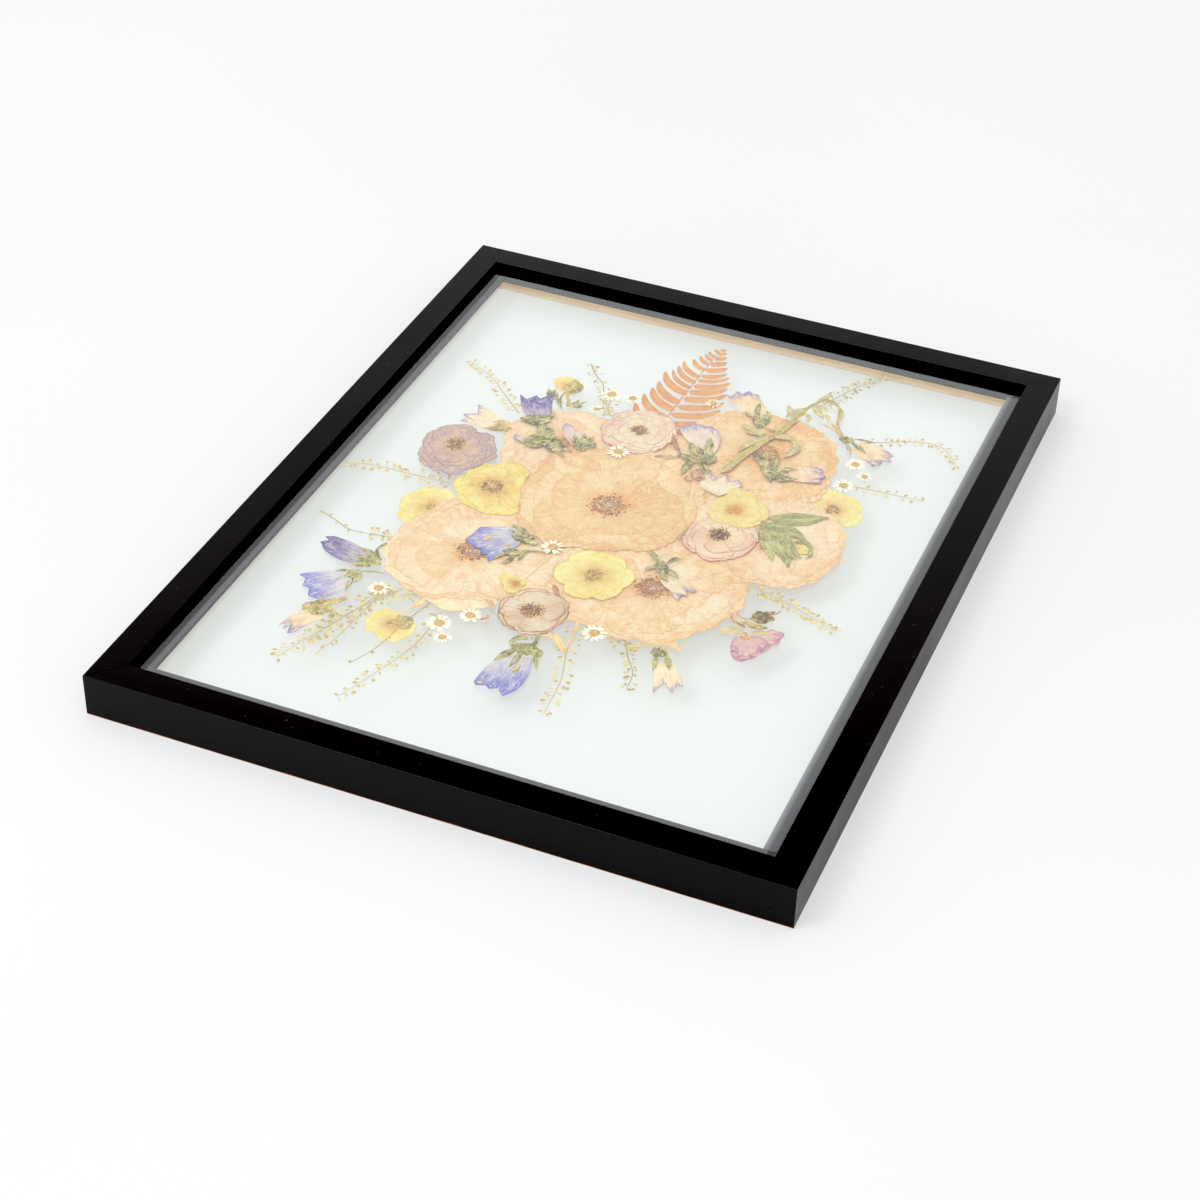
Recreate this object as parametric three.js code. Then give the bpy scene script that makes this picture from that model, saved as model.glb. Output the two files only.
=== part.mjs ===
// Pressed flower frame: a mitred black wood frame that holds dried blooms flat between two glasses.
// Millimetres, +Z up. The frame lies on its back and the origin is at the middle of its underside,
// with X across the frame and Y along it.
import * as THREE from 'three';

// ---- driving dimensions ----
const GLASS_WIDTH = 355.6; // 14 inches
const GLASS_LENGTH = 457.2; // 18 inches
const GLASS_THICK = 2;
const GLASS_CLEARANCE = 0.5; // between a glass edge and the rabbet wall
const RAIL_WALL = 10.5; // wood outside the rabbet
const LIP_REACH = 6.5; // how far the lip covers the rabbet
const LIP_THICK = 4.5;
const RAIL_DEPTH = 25;
const ARRIS = 0.4; // small chamfer on the long edges
const MITRE_GAP = 0.3; // open line between two mitred ends
const SPACER_WIDTH = 14.5; // from the glass edge inwards
const SPACER_THICK = 2.5;
const POINT_LENGTH = 9; // a glazing point along its rail
const POINT_REACH = 9; // and under the glass
const POINT_RISE = 7; // and down the rabbet wall
const POINT_METAL = 0.6;
const POINT_GAP = 0.1;
const PLATE_THICK = 0.22; // a dried plant
const LAYER_PITCH = 0.3; // from one layer of plants to the next
const FIRST_LAYER_GAP = 0.05; // from the back glass to the lowest plants
const OUTLINE_STEPS = 3; // points per stretch of a soft outline

// ---- sizes that follow ----
const RABBET_X = GLASS_WIDTH / 2 + GLASS_CLEARANCE;
const RABBET_Y = GLASS_LENGTH / 2 + GLASS_CLEARANCE;
const OUTER_X = RABBET_X + RAIL_WALL;
const OUTER_Y = RABBET_Y + RAIL_WALL;
const FRONT_GLASS_TOP = RAIL_DEPTH - LIP_THICK;
const SPACER_TOP = FRONT_GLASS_TOP - GLASS_THICK;
const BACK_GLASS_TOP = SPACER_TOP - SPACER_THICK;
const BACK_GLASS_UNDER = BACK_GLASS_TOP - GLASS_THICK;

// ---- colours and finishes ----
const FINISH = {
  paint: { color: 0x17120f, roughness: 0.4 },
  glass: { color: 0xf2f7f4, roughness: 0.02, transparent: true, opacity: 0.25 },
  spacer: { color: 0x0c0c0c, roughness: 0.7 },
  steel: { color: 0xa9abad, roughness: 0.35, metalness: 1 },
  peach: { color: 0xf0cda3, roughness: 0.8 },
  blush: { color: 0xe6cdbb, roughness: 0.8 },
  mauve: { color: 0xb89aa8, roughness: 0.8 },
  yellow: { color: 0xf1e08a, roughness: 0.8 },
  violet: { color: 0x9d9ccb, roughness: 0.8 },
  magenta: { color: 0xcf9ab9, roughness: 0.8 },
  leaf: { color: 0x9d9d68, roughness: 0.8 },
  fern: { color: 0xe0a377, roughness: 0.8 },
  seed: { color: 0xdcc184, roughness: 0.8 },
  brown: { color: 0x7d6340, roughness: 0.8 },
};

const frame = new THREE.Group();

function add(name, geometry, finish, z = 0) {
  const mesh = new THREE.Mesh(geometry, new THREE.MeshStandardMaterial(FINISH[finish]));
  mesh.name = name;
  mesh.position.z = z;
  frame.add(mesh);
  return mesh;
}

function outlineShape(points) {
  return new THREE.Shape(points.map(([x, y]) => new THREE.Vector2(x, y)));
}

function plate(points, thick) {
  return new THREE.ExtrudeGeometry(outlineShape(points), { depth: thick, bevelEnabled: false });
}

function block(x0, x1, y0, y1, thick) {
  return plate([[x0, y0], [x1, y0], [x1, y1], [x0, y1]], thick);
}

// ---- the wood frame ----

// The rail's section: across is the distance in from the outer face.
function railSection() {
  const face = RAIL_WALL + LIP_REACH;
  return [
    [0, 0],
    [RAIL_WALL, 0],
    [RAIL_WALL, FRONT_GLASS_TOP],
    [face, FRONT_GLASS_TOP],
    [face, RAIL_DEPTH - ARRIS],
    [face - ARRIS, RAIL_DEPTH],
    [ARRIS, RAIL_DEPTH],
    [0, RAIL_DEPTH - ARRIS],
  ];
}

// A rail along +Y whose outer face is at x = outer, with both ends mitred at 45 degrees.
function railGeometry(outer, halfLength) {
  const geometry = plate(railSection(), 1);
  const position = geometry.attributes.position;
  const setBack = MITRE_GAP / Math.SQRT2;
  for (let i = 0; i < position.count; i += 1) {
    const across = position.getX(i);
    const height = position.getY(i);
    const end = position.getZ(i) > 0.5 ? 1 : -1;
    position.setXYZ(i, outer - across, end * (halfLength - across - setBack), height);
  }
  geometry.computeVertexNormals();
  return geometry;
}

function addRails() {
  const sides = [
    ['rail_right', OUTER_X, OUTER_Y, 0],
    ['rail_far', OUTER_Y, OUTER_X, 1],
    ['rail_left', OUTER_X, OUTER_Y, 2],
    ['rail_near', OUTER_Y, OUTER_X, 3],
  ];
  for (const [name, outer, halfLength, quarterTurns] of sides) {
    add(name, railGeometry(outer, halfLength), 'paint').rotation.z = (quarterTurns * Math.PI) / 2;
  }
}

// ---- the two glasses, the spacers between them and the glazing points behind ----

function addGlasses() {
  const x = GLASS_WIDTH / 2;
  const y = GLASS_LENGTH / 2;
  add('glass_front', block(-x, x, -y, y, GLASS_THICK), 'glass', SPACER_TOP);
  add('glass_back', block(-x, x, -y, y, GLASS_THICK), 'glass', BACK_GLASS_UNDER);
}

function addSpacers() {
  const x = GLASS_WIDTH / 2;
  const y = GLASS_LENGTH / 2;
  const inX = x - SPACER_WIDTH;
  const inY = y - SPACER_WIDTH;
  const end = inY - MITRE_GAP;
  const strips = [
    ['spacer_left', -x, -inX, -end, end],
    ['spacer_right', inX, x, -end, end],
    ['spacer_far', -x, x, inY, y],
    ['spacer_near', -x, x, -y, -inY],
  ];
  for (const [name, ...sides] of strips) {
    add(name, block(...sides, SPACER_THICK), 'spacer', BACK_GLASS_TOP);
  }
}

// An angle of sheet steel: one leg on the rabbet wall, the other under the back glass.
function glazingPoint() {
  const profile = [
    [0, 0],
    [-POINT_REACH, 0],
    [-POINT_REACH, -POINT_METAL],
    [-POINT_METAL, -POINT_METAL],
    [-POINT_METAL, -POINT_RISE],
    [0, -POINT_RISE],
  ];
  const geometry = plate(profile, POINT_LENGTH);
  geometry.translate(0, 0, -POINT_LENGTH / 2);
  geometry.rotateX(Math.PI / 2);
  return geometry;
}

function addGlazingPoints() {
  const wallX = RABBET_X - POINT_GAP;
  const wallY = RABBET_Y - POINT_GAP;
  const alongX = GLASS_WIDTH / 4;
  const alongY = GLASS_LENGTH / 4;
  const places = [
    [wallX, -alongY, 0],
    [wallX, alongY, 0],
    [alongX, wallY, 1],
    [-alongX, wallY, 1],
    [-wallX, alongY, 2],
    [-wallX, -alongY, 2],
    [-alongX, -wallY, 3],
    [alongX, -wallY, 3],
  ];
  places.forEach(([x, y, quarterTurns], index) => {
    const point = add(`glazing_point_${index + 1}`, glazingPoint(), 'steel');
    point.position.set(x, y, BACK_GLASS_UNDER - POINT_GAP);
    point.rotation.z = (quarterTurns * Math.PI) / 2;
  });
}

// ---- the dried plants, each a thin plate on its own layer ----

function layerHeight(layer) {
  return BACK_GLASS_TOP + FIRST_LAYER_GAP + layer * LAYER_PITCH;
}

// A closed soft outline through a few points.
function soft(points) {
  const curve = new THREE.CatmullRomCurve3(
    points.map(([x, y]) => new THREE.Vector3(x, y, 0)),
    true,
    'centripetal',
  );
  const spaced = curve.getPoints(points.length * OUTLINE_STEPS).slice(0, -1);
  return spaced.map(({ x, y }) => [x, y]);
}

// A round bloom whose rim dips a little between its petals.
function roundBloom(x, y, halfX, halfY, petals, turn) {
  const dip = 0.06;
  const count = petals * 6;
  const points = [];
  for (let i = 0; i < count; i += 1) {
    const angle = (i / count) * 2 * Math.PI;
    const reach = 1 - dip * Math.abs(Math.cos((petals * (angle - turn)) / 2)) ** 6;
    points.push([x + halfX * reach * Math.cos(angle), y + halfY * reach * Math.sin(angle)]);
  }
  return points;
}

// A ribbon of changing width along a path: [x, y, half width] at each point.
function ribbon(path) {
  const near = [];
  const far = [];
  path.forEach(([x, y, half], index) => {
    const [ax, ay] = path[Math.max(index - 1, 0)];
    const [bx, by] = path[Math.min(index + 1, path.length - 1)];
    const length = Math.hypot(bx - ax, by - ay);
    const acrossX = (-(by - ay) / length) * half;
    const acrossY = ((bx - ax) / length) * half;
    near.push([x + acrossX, y + acrossY]);
    far.unshift([x - acrossX, y - acrossY]);
  });
  return [...near, ...far];
}

// The fern: a rib with pinnae that curve up to their tips on both sides, shorter towards its tip.
function fernOutline() {
  const foot = new THREE.Vector2(-12.8, 96);
  const tip = new THREE.Vector2(-10, 200);
  const pairs = 18;
  const longest = 21;
  const ribHalf = 0.5;
  const step = (tip.y - foot.y) / pairs;
  const side = (sign) => {
    const points = [];
    for (let i = 0; i < pairs; i += 1) {
      const along = i / pairs;
      const root = foot.clone().lerp(tip, along);
      const reach = longest * Math.min(1, (1 - along) * 1.9) ** 0.85;
      const rise = reach * 0.72;
      const at = (out, up) => [root.x + sign * out, root.y + up];
      points.push(at(ribHalf, 0));
      points.push(at(reach * 0.6, rise * 0.3));
      points.push(at(reach, rise));
      points.push(at(reach * 0.55, rise * 0.25 + step * 0.75));
      points.push(at(ribHalf, step * 0.75));
    }
    return points;
  };
  return [...side(1), [tip.x, tip.y], ...side(-1).reverse()];
}

// A spray: a thin stem with seeds on both sides, drawn as one outline.
function sprayOutline(path, seedLength, pairs) {
  const curve = new THREE.CatmullRomCurve3(path.map(([x, y]) => new THREE.Vector3(x, y, 0)));
  const half = 0.35;
  const side = (sign) => {
    const points = [];
    for (let i = 0; i < pairs; i += 1) {
      const along = (i + 0.5) / (pairs + 1);
      const root = curve.getPointAt(along);
      const way = curve.getTangentAt(along);
      const across = new THREE.Vector3(-way.y, way.x, 0).multiplyScalar(sign);
      const at = (forward, out) => {
        const point = root.clone().addScaledVector(way, forward).addScaledVector(across, out);
        return [point.x, point.y];
      };
      points.push(at(0, half));
      points.push(at(seedLength * 0.7, seedLength * 0.6));
      points.push(at(seedLength * 1.2, seedLength));
      points.push(at(seedLength * 0.9, seedLength * 0.4));
      points.push(at(seedLength * 0.5, half));
    }
    return points;
  };
  const end = curve.getPointAt(1);
  const start = curve.getPointAt(0);
  return [[start.x, start.y], ...side(-1), [end.x, end.y], ...side(1).reverse()];
}

// [name, finish, layer, outline]
const LARGE_BLOOMS = [
  ['peach_bloom_upper_left', 'peach', 1, soft([
    [-94, 64], [-91, 78], [-78, 91], [-62, 98], [-49, 94], [-38, 80], [-36, 58],
    [-46, 40], [-62, 31], [-78, 31], [-87, 46],
  ])],
  ['peach_bloom_upper_right', 'peach', 1, soft([
    [10, 110], [10, 126], [21, 134], [44, 141], [65, 139], [82, 131], [92, 116], [97, 98],
    [97, 78], [88, 64], [68, 54], [45, 56], [29, 67], [20, 82],
  ])],
  ['peach_bloom_lower_left', 'peach', 2, soft([
    [-106, -52], [-104, -74], [-97, -90], [-76, -103], [-52, -108], [-30, -98], [-16, -80],
    [-12, -58], [-13, -38], [-30, -26], [-52, -16], [-72, -13], [-90, -14], [-100, -34],
  ])],
  ['peach_bloom_lower_right', 'peach', 2, soft([
    [-9, -50], [-4, -68], [6, -82], [22, -91], [45, -93], [62, -87], [80, -70], [90, -50],
    [89, -30], [82, -14], [64, -6], [38, -4], [16, -18], [0, -30],
  ])],
  ['peach_bloom_right', 'peach', 3, soft([
    [58, 30], [62, 50], [76, 59], [96, 63], [110, 58], [120, 44], [124, 30], [123, 8],
    [116, -10], [103, -19], [88, -20], [78, -10], [68, 4],
  ])],
  ['peach_bloom_middle', 'peach', 4, soft([
    [-61, 10], [-62, 34], [-57, 57], [-38, 64], [-20, 76], [4, 79], [22, 66], [34, 50],
    [40, 26], [39, 2], [28, -14], [6, -26], [-24, -33], [-46, -25], [-55, -8],
  ])],
];

const SMALL_BLOOMS = [
  ['mauve_bloom', 'mauve', 5, soft([
    [-113, 58], [-103, 54], [-94, 50], [-86, 32], [-91, 16], [-103, 9], [-119, 6], [-128, 18],
    [-132, 35], [-129, 50],
  ])],
  ['yellow_bloom_left', 'yellow', 6, soft([
    [-76, 31], [-63, 27], [-59, 12], [-53, -4], [-57, -15], [-70, -21], [-84, -17], [-95, -4],
    [-97, 12], [-90, 26],
  ])],
  ['pale_yellow_bloom_left', 'yellow', 0, soft([
    [-113, -12], [-103, -7], [-93, -11], [-90, -24], [-96, -36], [-105, -46], [-114, -38],
    [-117, -22],
  ])],
  ['yellow_bloom_low', 'yellow', 5, roundBloom(8.5, -49, 22, 23, 5, 0.4)],
  ['cream_bloom_top', 'blush', 5, roundBloom(-22, 91, 22, 23, 6, 0.2)],
  ['beige_bloom', 'blush', 3, roundBloom(-9.5, -90, 19, 21, 6, 0)],
  ['pink_bloom_right', 'blush', 5, roundBloom(58, 10, 20, 22, 6, 0.5)],
  ['yellow_bloom_right', 'yellow', 6, soft([
    [50, 60], [62, 59], [71, 51], [77, 38], [70, 27], [58, 22], [46, 26], [42, 38], [46, 52],
  ])],
  ['pale_yellow_bloom_right', 'yellow', 0, soft([
    [92, 78], [103, 84], [115, 79], [122, 68], [123, 58], [115, 50], [102, 51], [92, 62],
  ])],
  ['yellow_bud_top', 'yellow', 2, soft([
    [-89, 122], [-83, 128], [-74, 128], [-69, 121], [-70, 113], [-72, 106], [-66, 97],
    [-70, 96], [-76, 108], [-83, 112],
  ])],
  ['crumpled_yellow_bloom', 'yellow', 0, soft([
    [-87, -130], [-80, -117], [-70, -120], [-61, -122], [-58, -136], [-66, -144], [-78, -143],
  ])],
  ['small_yellow_bud', 'yellow', 4, soft([
    [-38, -68], [-30, -66], [-22, -69], [-23, -80], [-30, -80],
  ])],
];

const BELLS = [
  ['bell_purple_left', 'violet', 3, [
    [-137, -84], [-125, -90], [-114, -92], [-103, -94], [-98, -88], [-101, -81], [-112, -77],
    [-124, -74], [-136, -74],
  ]],
  ['bell_blue_left', 'violet', 3, [
    [-134, -112], [-128, -118], [-122, -127], [-114, -126], [-112, -112], [-104, -107],
    [-105, -95], [-113, -95], [-116, -103],
  ]],
  ['bell_peach_left', 'violet', 2, [
    [-124, -155], [-117, -159], [-112, -150], [-108, -139], [-104, -132], [-105, -122],
    [-114, -122], [-120, -133], [-118, -142],
  ]],
  ['bell_blue_middle', 'violet', 5, [
    [-67, -48], [-58, -53], [-48, -61], [-44, -48], [-36, -54], [-34, -42], [-30, -33],
    [-40, -26], [-50, -26], [-62, -30],
  ]],
  ['bell_violet_upper_left', 'violet', 5, [
    [-99, 97], [-94, 84], [-88, 76], [-76, 70], [-66, 60], [-63, 64], [-70, 76], [-74, 88],
    [-81, 106], [-86, 100],
  ]],
  ['bell_pale_left', 'blush', 0, [
    [-122, 66], [-120, 60], [-106, 57], [-92, 57], [-92, 68], [-106, 70], [-118, 79],
    [-116, 70],
  ]],
  ['bell_small_upper_left', 'violet', 5, [
    [-63, 80], [-62, 74], [-52, 65], [-50, 58], [-42, 57], [-42, 68], [-47, 74], [-54, 72],
  ]],
  ['bell_closed_upper_left', 'leaf', 6, [
    [-85, 55], [-80, 51], [-70, 48], [-58, 46], [-52, 52], [-58, 58], [-66, 62], [-76, 58],
  ]],
  ['bell_top', 'violet', 3, [
    [11, 148], [20, 142], [28, 134], [36, 126], [43, 126], [44, 136], [36, 147], [30, 154],
    [22, 158], [15, 155],
  ]],
  ['bell_lilac_middle', 'violet', 6, [
    [1, 104], [8, 92], [16, 82], [26, 72], [29, 76], [27, 88], [21, 99], [12, 110],
  ]],
  ['bell_peach_middle', 'blush', 5, [
    [28, 72], [26, 62], [24, 52], [34, 48], [44, 47], [48, 55], [52, 63], [42, 69],
  ]],
  ['bell_in_right_bloom', 'violet', 5, [
    [58, 98], [60, 86], [64, 77], [76, 79], [89, 83], [92, 90], [86, 99], [74, 91], [66, 90],
  ]],
  ['bell_right', 'violet', 3, [
    [88, 129], [98, 127], [104, 120], [114, 113], [121, 126], [112, 132], [105, 136],
    [92, 137],
  ]],
  ['bell_blue_bottom', 'violet', 3, [
    [-13, -157], [-11, -140], [-8, -128], [-8, -118], [1, -112], [8, -119], [10, -132],
    [10, -152], [5, -160], [-1, -152],
  ]],
  ['bell_peach_bottom', 'blush', 3, [
    [74, -127], [68, -110], [60, -92], [64, -90], [73, -97], [80, -110], [86, -117],
    [82, -123],
  ]],
  ['bell_small_low', 'leaf', 6, [
    [26, -15], [31, -26], [36, -32], [46, -40], [48, -34], [44, -26], [48, -15], [38, -20],
    [34, -20],
  ]],
];

const OTHER_PLANTS = [
  ['magenta_petal', 'magenta', 1, soft([
    [108, -51], [117, -55], [114, -68], [106, -83], [98, -79], [96, -68], [101, -61],
  ])],
  ['brown_bud', 'brown', 3, soft([[97, -47], [100, -40], [106, -39], [109, -46], [104, -51]])],
  ['fern', 'fern', 0, fernOutline()],
  ['leaf_cluster', 'leaf', 4, [
    [76, 34], [82, 14], [91, 5], [91, 14], [100, 3], [102, 14], [108, 18], [106, 26],
    [96, 26], [100, 32], [88, 37], [104, 46], [104, 53], [90, 49], [78, 40],
  ]],
  ['arching_stem', 'leaf', 7, ribbon([
    [35, 69, 1.4], [40, 90, 2.2], [47, 112, 2.4], [54, 134, 2], [58, 150, 1.8], [61, 161, 1.8],
    [69, 166, 1.8], [77, 160, 1.3], [81, 147, 1.2], [86, 138, 1],
  ])],
  ['spray_bottom', 'seed', 1, sprayOutline([[-56, -112], [-56, -150], [-70, -195]], 3, 9)],
  ['spray_upper_left', 'seed', 0, sprayOutline([[-96, 82], [-118, 104], [-143, 120]], 3.4, 8)],
  ['spray_left', 'seed', 1, sprayOutline([[-99, 0], [-128, -3], [-160, -9]], 3.4, 8)],
];

function addPlants() {
  for (const [name, finish, layer, outline] of [
    ...LARGE_BLOOMS,
    ...SMALL_BLOOMS,
    ...BELLS,
    ...OTHER_PLANTS,
  ]) {
    add(name, plate(outline, PLATE_THICK), finish, layerHeight(layer));
  }
}

addRails();
addGlasses();
addSpacers();
addGlazingPoints();
addPlants();

export default frame;
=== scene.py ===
"""Pressed flower frame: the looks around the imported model.

Outlines and places are given in millimetres, in the frame's own axes: X across, Y along, Z up from
the underside. The meshes are in metres.
"""

import math
import random

import bpy
import numpy as np
from bpy.props import FloatProperty, FloatVectorProperty, PointerProperty
from mathutils import Matrix, Vector


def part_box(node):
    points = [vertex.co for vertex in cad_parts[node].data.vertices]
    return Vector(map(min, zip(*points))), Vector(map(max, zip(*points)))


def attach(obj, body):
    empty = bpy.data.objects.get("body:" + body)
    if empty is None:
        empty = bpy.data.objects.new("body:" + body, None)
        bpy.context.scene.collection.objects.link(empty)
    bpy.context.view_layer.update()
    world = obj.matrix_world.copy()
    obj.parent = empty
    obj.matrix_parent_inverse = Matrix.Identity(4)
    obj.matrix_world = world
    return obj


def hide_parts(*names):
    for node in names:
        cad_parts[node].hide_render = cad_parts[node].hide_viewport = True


bl_info = {
    "name": "Pressed Flower Frame",
    "version": (1, 0, 0),
    "blender": (4, 5, 0),
    "location": "3D View > Sidebar > Flower Frame",
    "description": "Builds a black wood frame with dried flowers between two glasses",
    "category": "Add Mesh",
}

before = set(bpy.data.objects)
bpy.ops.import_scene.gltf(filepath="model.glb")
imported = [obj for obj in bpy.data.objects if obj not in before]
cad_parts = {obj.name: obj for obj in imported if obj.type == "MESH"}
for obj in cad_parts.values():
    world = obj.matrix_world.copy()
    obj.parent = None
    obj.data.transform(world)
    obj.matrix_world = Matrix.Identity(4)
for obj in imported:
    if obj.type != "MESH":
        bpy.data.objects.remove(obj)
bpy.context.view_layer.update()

MM = 0.001
BODY = "root"
TAU = 2 * math.pi


def node_limits(node):
    """The lowest and highest corner of a CAD node, in millimetres."""
    low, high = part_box(node)
    return np.array(low) / MM, np.array(high) / MM


BACK_GLASS_TOP = node_limits("glass_back")[1][2]
FRONT_GLASS_TOP = node_limits("glass_front")[1][2]
OUTER = node_limits("rail_right")[1]
MITRE_SHORT = 0.21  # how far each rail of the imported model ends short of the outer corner
GLASS_CLEARANCE = 0.5
OUTER_X, OUTER_Y, DEPTH = OUTER[0], OUTER[1] + MITRE_SHORT, OUTER[2]
RABBET_X = node_limits("glass_front")[1][0] + GLASS_CLEARANCE
RAIL_WALL = OUTER_X - RABBET_X
FACE = OUTER_X - node_limits("rail_right")[0][0]
LAYER_PITCH = 0.3
FIRST_LAYER_GAP = 0.05
PETAL_THICK = 0.09
PETAL_SMOOTH = 65  # edges sharper than this many degrees, such as a petal's rim, stay sharp


# ---- settings that a user would change ----


def colour_setting(name, description, red, green, blue):
    """A colour given as it looks on a screen, from 0 to 255, kept as a linear value."""
    linear = [screen_to_linear(value) for value in (red, green, blue)]
    return FloatVectorProperty(
        name=name, description=description, subtype="COLOR", size=3, min=0, max=1, default=linear
    )


def screen_to_linear(value):
    share = value / 255
    return share / 12.92 if share <= 0.04045 else ((share + 0.055) / 1.055) ** 2.4


class FrameSettings(bpy.types.PropertyGroup):
    """The black wood and what is in its rabbet."""

    paint: colour_setting("Paint", "Black paint on the rails", 12, 8, 9)
    worn_paint: colour_setting("Worn paint", "Paint rubbed thin along the edges", 26, 20, 20)
    # painted sheen: a lighter colour for the outer walls, in place of the reflection they catch at a slant
    painted_wall_sheen: colour_setting("Side paint", "Thinner paint on the outer walls", 40, 39, 39)
    wood: colour_setting("Bare wood", "Wood in the rabbet", 255, 224, 172)
    wood_grain: colour_setting("Wood grain", "Darker grain of the bare wood", 248, 206, 146)
    steel: colour_setting("Steel", "Glazing points", 176, 178, 180)
    spacer: colour_setting("Spacer", "Strips between the glasses", 52, 51, 54)
    edge_round: FloatProperty(
        name="Edge rounding", description="Radius of the long edges", default=0.00045, min=0.0001,
        precision=5, unit="LENGTH",
    )


class GlassSettings(bpy.types.PropertyGroup):
    """The two clear glasses."""

    tint: colour_setting("Tint", "Faint green of clear glass", 250, 253, 251)
    ior: FloatProperty(
        name="IOR", description="Refractive index", default=1.54, min=1, max=2, subtype="FACTOR"
    )


class FlowerSettings(bpy.types.PropertyGroup):
    """Petals, leaves and seeds."""

    copper: colour_setting("Copper", "The fern tip", 232, 163, 92)
    gold: colour_setting("Gold", "Seed sprays", 240, 222, 154)
    cream: colour_setting("Cream", "Daisy petals", 255, 253, 240)
    translucency: FloatProperty(
        name="Translucency", description="Share of light that passes", default=0.34, min=0, max=1,
        subtype="FACTOR",
    )


class StageSettings(bpy.types.PropertyGroup):
    """Floor and lights."""

    floor: colour_setting("Floor", "Plain pale floor", 162, 162, 164)
    floor_glow: FloatProperty(
        name="Floor glow", description="Light that the white sweep gives by itself", default=0.47,
        min=0, max=1, subtype="FACTOR",
    )
    world_strength: FloatProperty(
        name="Room light", description="Soft light from all around", default=1.14, min=0, max=4,
        subtype="FACTOR",
    )
    black_level: FloatProperty(
        name="Black level", description="Deepest grey that still prints as black", default=0.04,
        min=0, max=0.2, subtype="FACTOR",
    )
    key_power: FloatProperty(
        name="Key light", description="Power of the soft key light", default=14.5, unit="POWER"
    )
    key_size: FloatProperty(
        name="Key size", description="Side of the key light", default=0.9, unit="LENGTH"
    )


# ---- modelling helpers ----


def select_only(*objects):
    """Deselects everything, then selects these and makes the first one active."""
    for other in bpy.context.selected_objects:
        other.select_set(False)
    for obj in objects:
        obj.select_set(True)
    bpy.context.view_layer.objects.active = objects[0]


def deselect_all():
    bpy.ops.object.select_all(action="DESELECT")


def coordinates(mesh):
    places = np.empty(len(mesh.vertices) * 3)
    mesh.vertices.foreach_get("co", places)
    return places.reshape(-1, 3)


def set_coordinates(mesh, places):
    mesh.vertices.foreach_set("co", np.asarray(places, float).ravel())
    mesh.update()


def write_shade(mesh, value):
    """Gives every point of a mesh the same shade, which the materials read."""
    layer = mesh.attributes.get("shade") or mesh.attributes.new("shade", "FLOAT", "POINT")
    layer.data.foreach_set("value", np.full(len(mesh.vertices), value))


def sheet(columns, rows, place, shade):
    """A grid with its point (u, v) moved to place(u, v), in millimetres. u and v run from 0 to 1."""
    deselect_all()
    bpy.ops.mesh.primitive_grid_add(x_subdivisions=columns, y_subdivisions=rows, size=2)
    obj = bpy.context.active_object
    grid = coordinates(obj.data)
    x, y, z = place((grid[:, 0] + 1) / 2, (grid[:, 1] + 1) / 2)
    set_coordinates(obj.data, np.column_stack(np.broadcast_arrays(x, y, z)) * MM)
    write_shade(obj.data, shade)
    return obj


def ball(segments, rings):
    """A unit ball, to be squashed and copied."""
    deselect_all()
    bpy.ops.mesh.primitive_uv_sphere_add(segments=segments, ring_count=rings, radius=1)
    return bpy.context.active_object


def copies(model, placings):
    """One mesh with a copy of the model at each placing: (4 x 4 matrix in millimetres, shade)."""
    mesh = model.data
    points = np.column_stack([coordinates(mesh), np.ones(len(mesh.vertices))])
    faces = [tuple(p.vertices) for p in mesh.polygons]
    uvs = np.empty(len(mesh.loops) * 2)
    mesh.uv_layers[0].data.foreach_get("uv", uvs)
    placed, sides, shades = [], [], []
    for matrix, shade in placings:
        first = len(placed) * len(points)
        placed.append((points @ np.array(matrix).T)[:, :3])
        sides.extend(tuple(first + i for i in face) for face in faces)
        shades.append(np.full(len(points), shade))
    joined = bpy.data.meshes.new("copies")
    joined.from_pydata((np.vstack(placed) * MM).tolist(), [], sides)
    joined.uv_layers.new(name=mesh.uv_layers[0].name)
    joined.uv_layers[0].data.foreach_set("uv", np.tile(uvs, len(placed)))
    joined.attributes.new("shade", "FLOAT", "POINT").data.foreach_set("value", np.concatenate(shades))
    obj = bpy.data.objects.new("copies", joined)
    bpy.context.collection.objects.link(obj)
    bpy.data.objects.remove(model)
    return obj


def placing(x, y, z, length, width, thick, angle):
    """A matrix that lays a unit ball down with its long axis along angle, in radians."""
    return (
        Matrix.Translation((x, y, z))
        @ Matrix.Rotation(angle, 4, "Z")
        @ Matrix.Diagonal((length / 2, width / 2, thick / 2, 1))
    )


def join(parts, name):
    """Joins objects into one, named name."""
    select_only(*parts)
    if len(parts) > 1:
        bpy.ops.object.join()
    obj = bpy.context.active_object
    obj.name = obj.data.name = name
    return obj


def apply_modifier(obj, kind, **settings):
    select_only(obj)
    modifier = obj.modifiers.new(kind.title(), kind)
    for key, value in settings.items():
        setattr(modifier, key, value)
    bpy.ops.object.modifier_apply(modifier=modifier.name)


def thicken(obj, thick=PETAL_THICK):
    """Turns a sheet into a closed body."""
    apply_modifier(obj, "SOLIDIFY", thickness=thick * MM, offset=0)


def place_in_mesh(obj):
    """Puts an object's place, turn and scale in its mesh."""
    select_only(obj)
    bpy.ops.object.transform_apply(location=True, rotation=True, scale=True)


def block(size, place):
    """A box of a size, centred on a place, both in metres."""
    deselect_all()
    bpy.ops.mesh.primitive_cube_add(size=1, location=place)
    obj = bpy.context.active_object
    obj.scale = size
    place_in_mesh(obj)
    return obj


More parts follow.
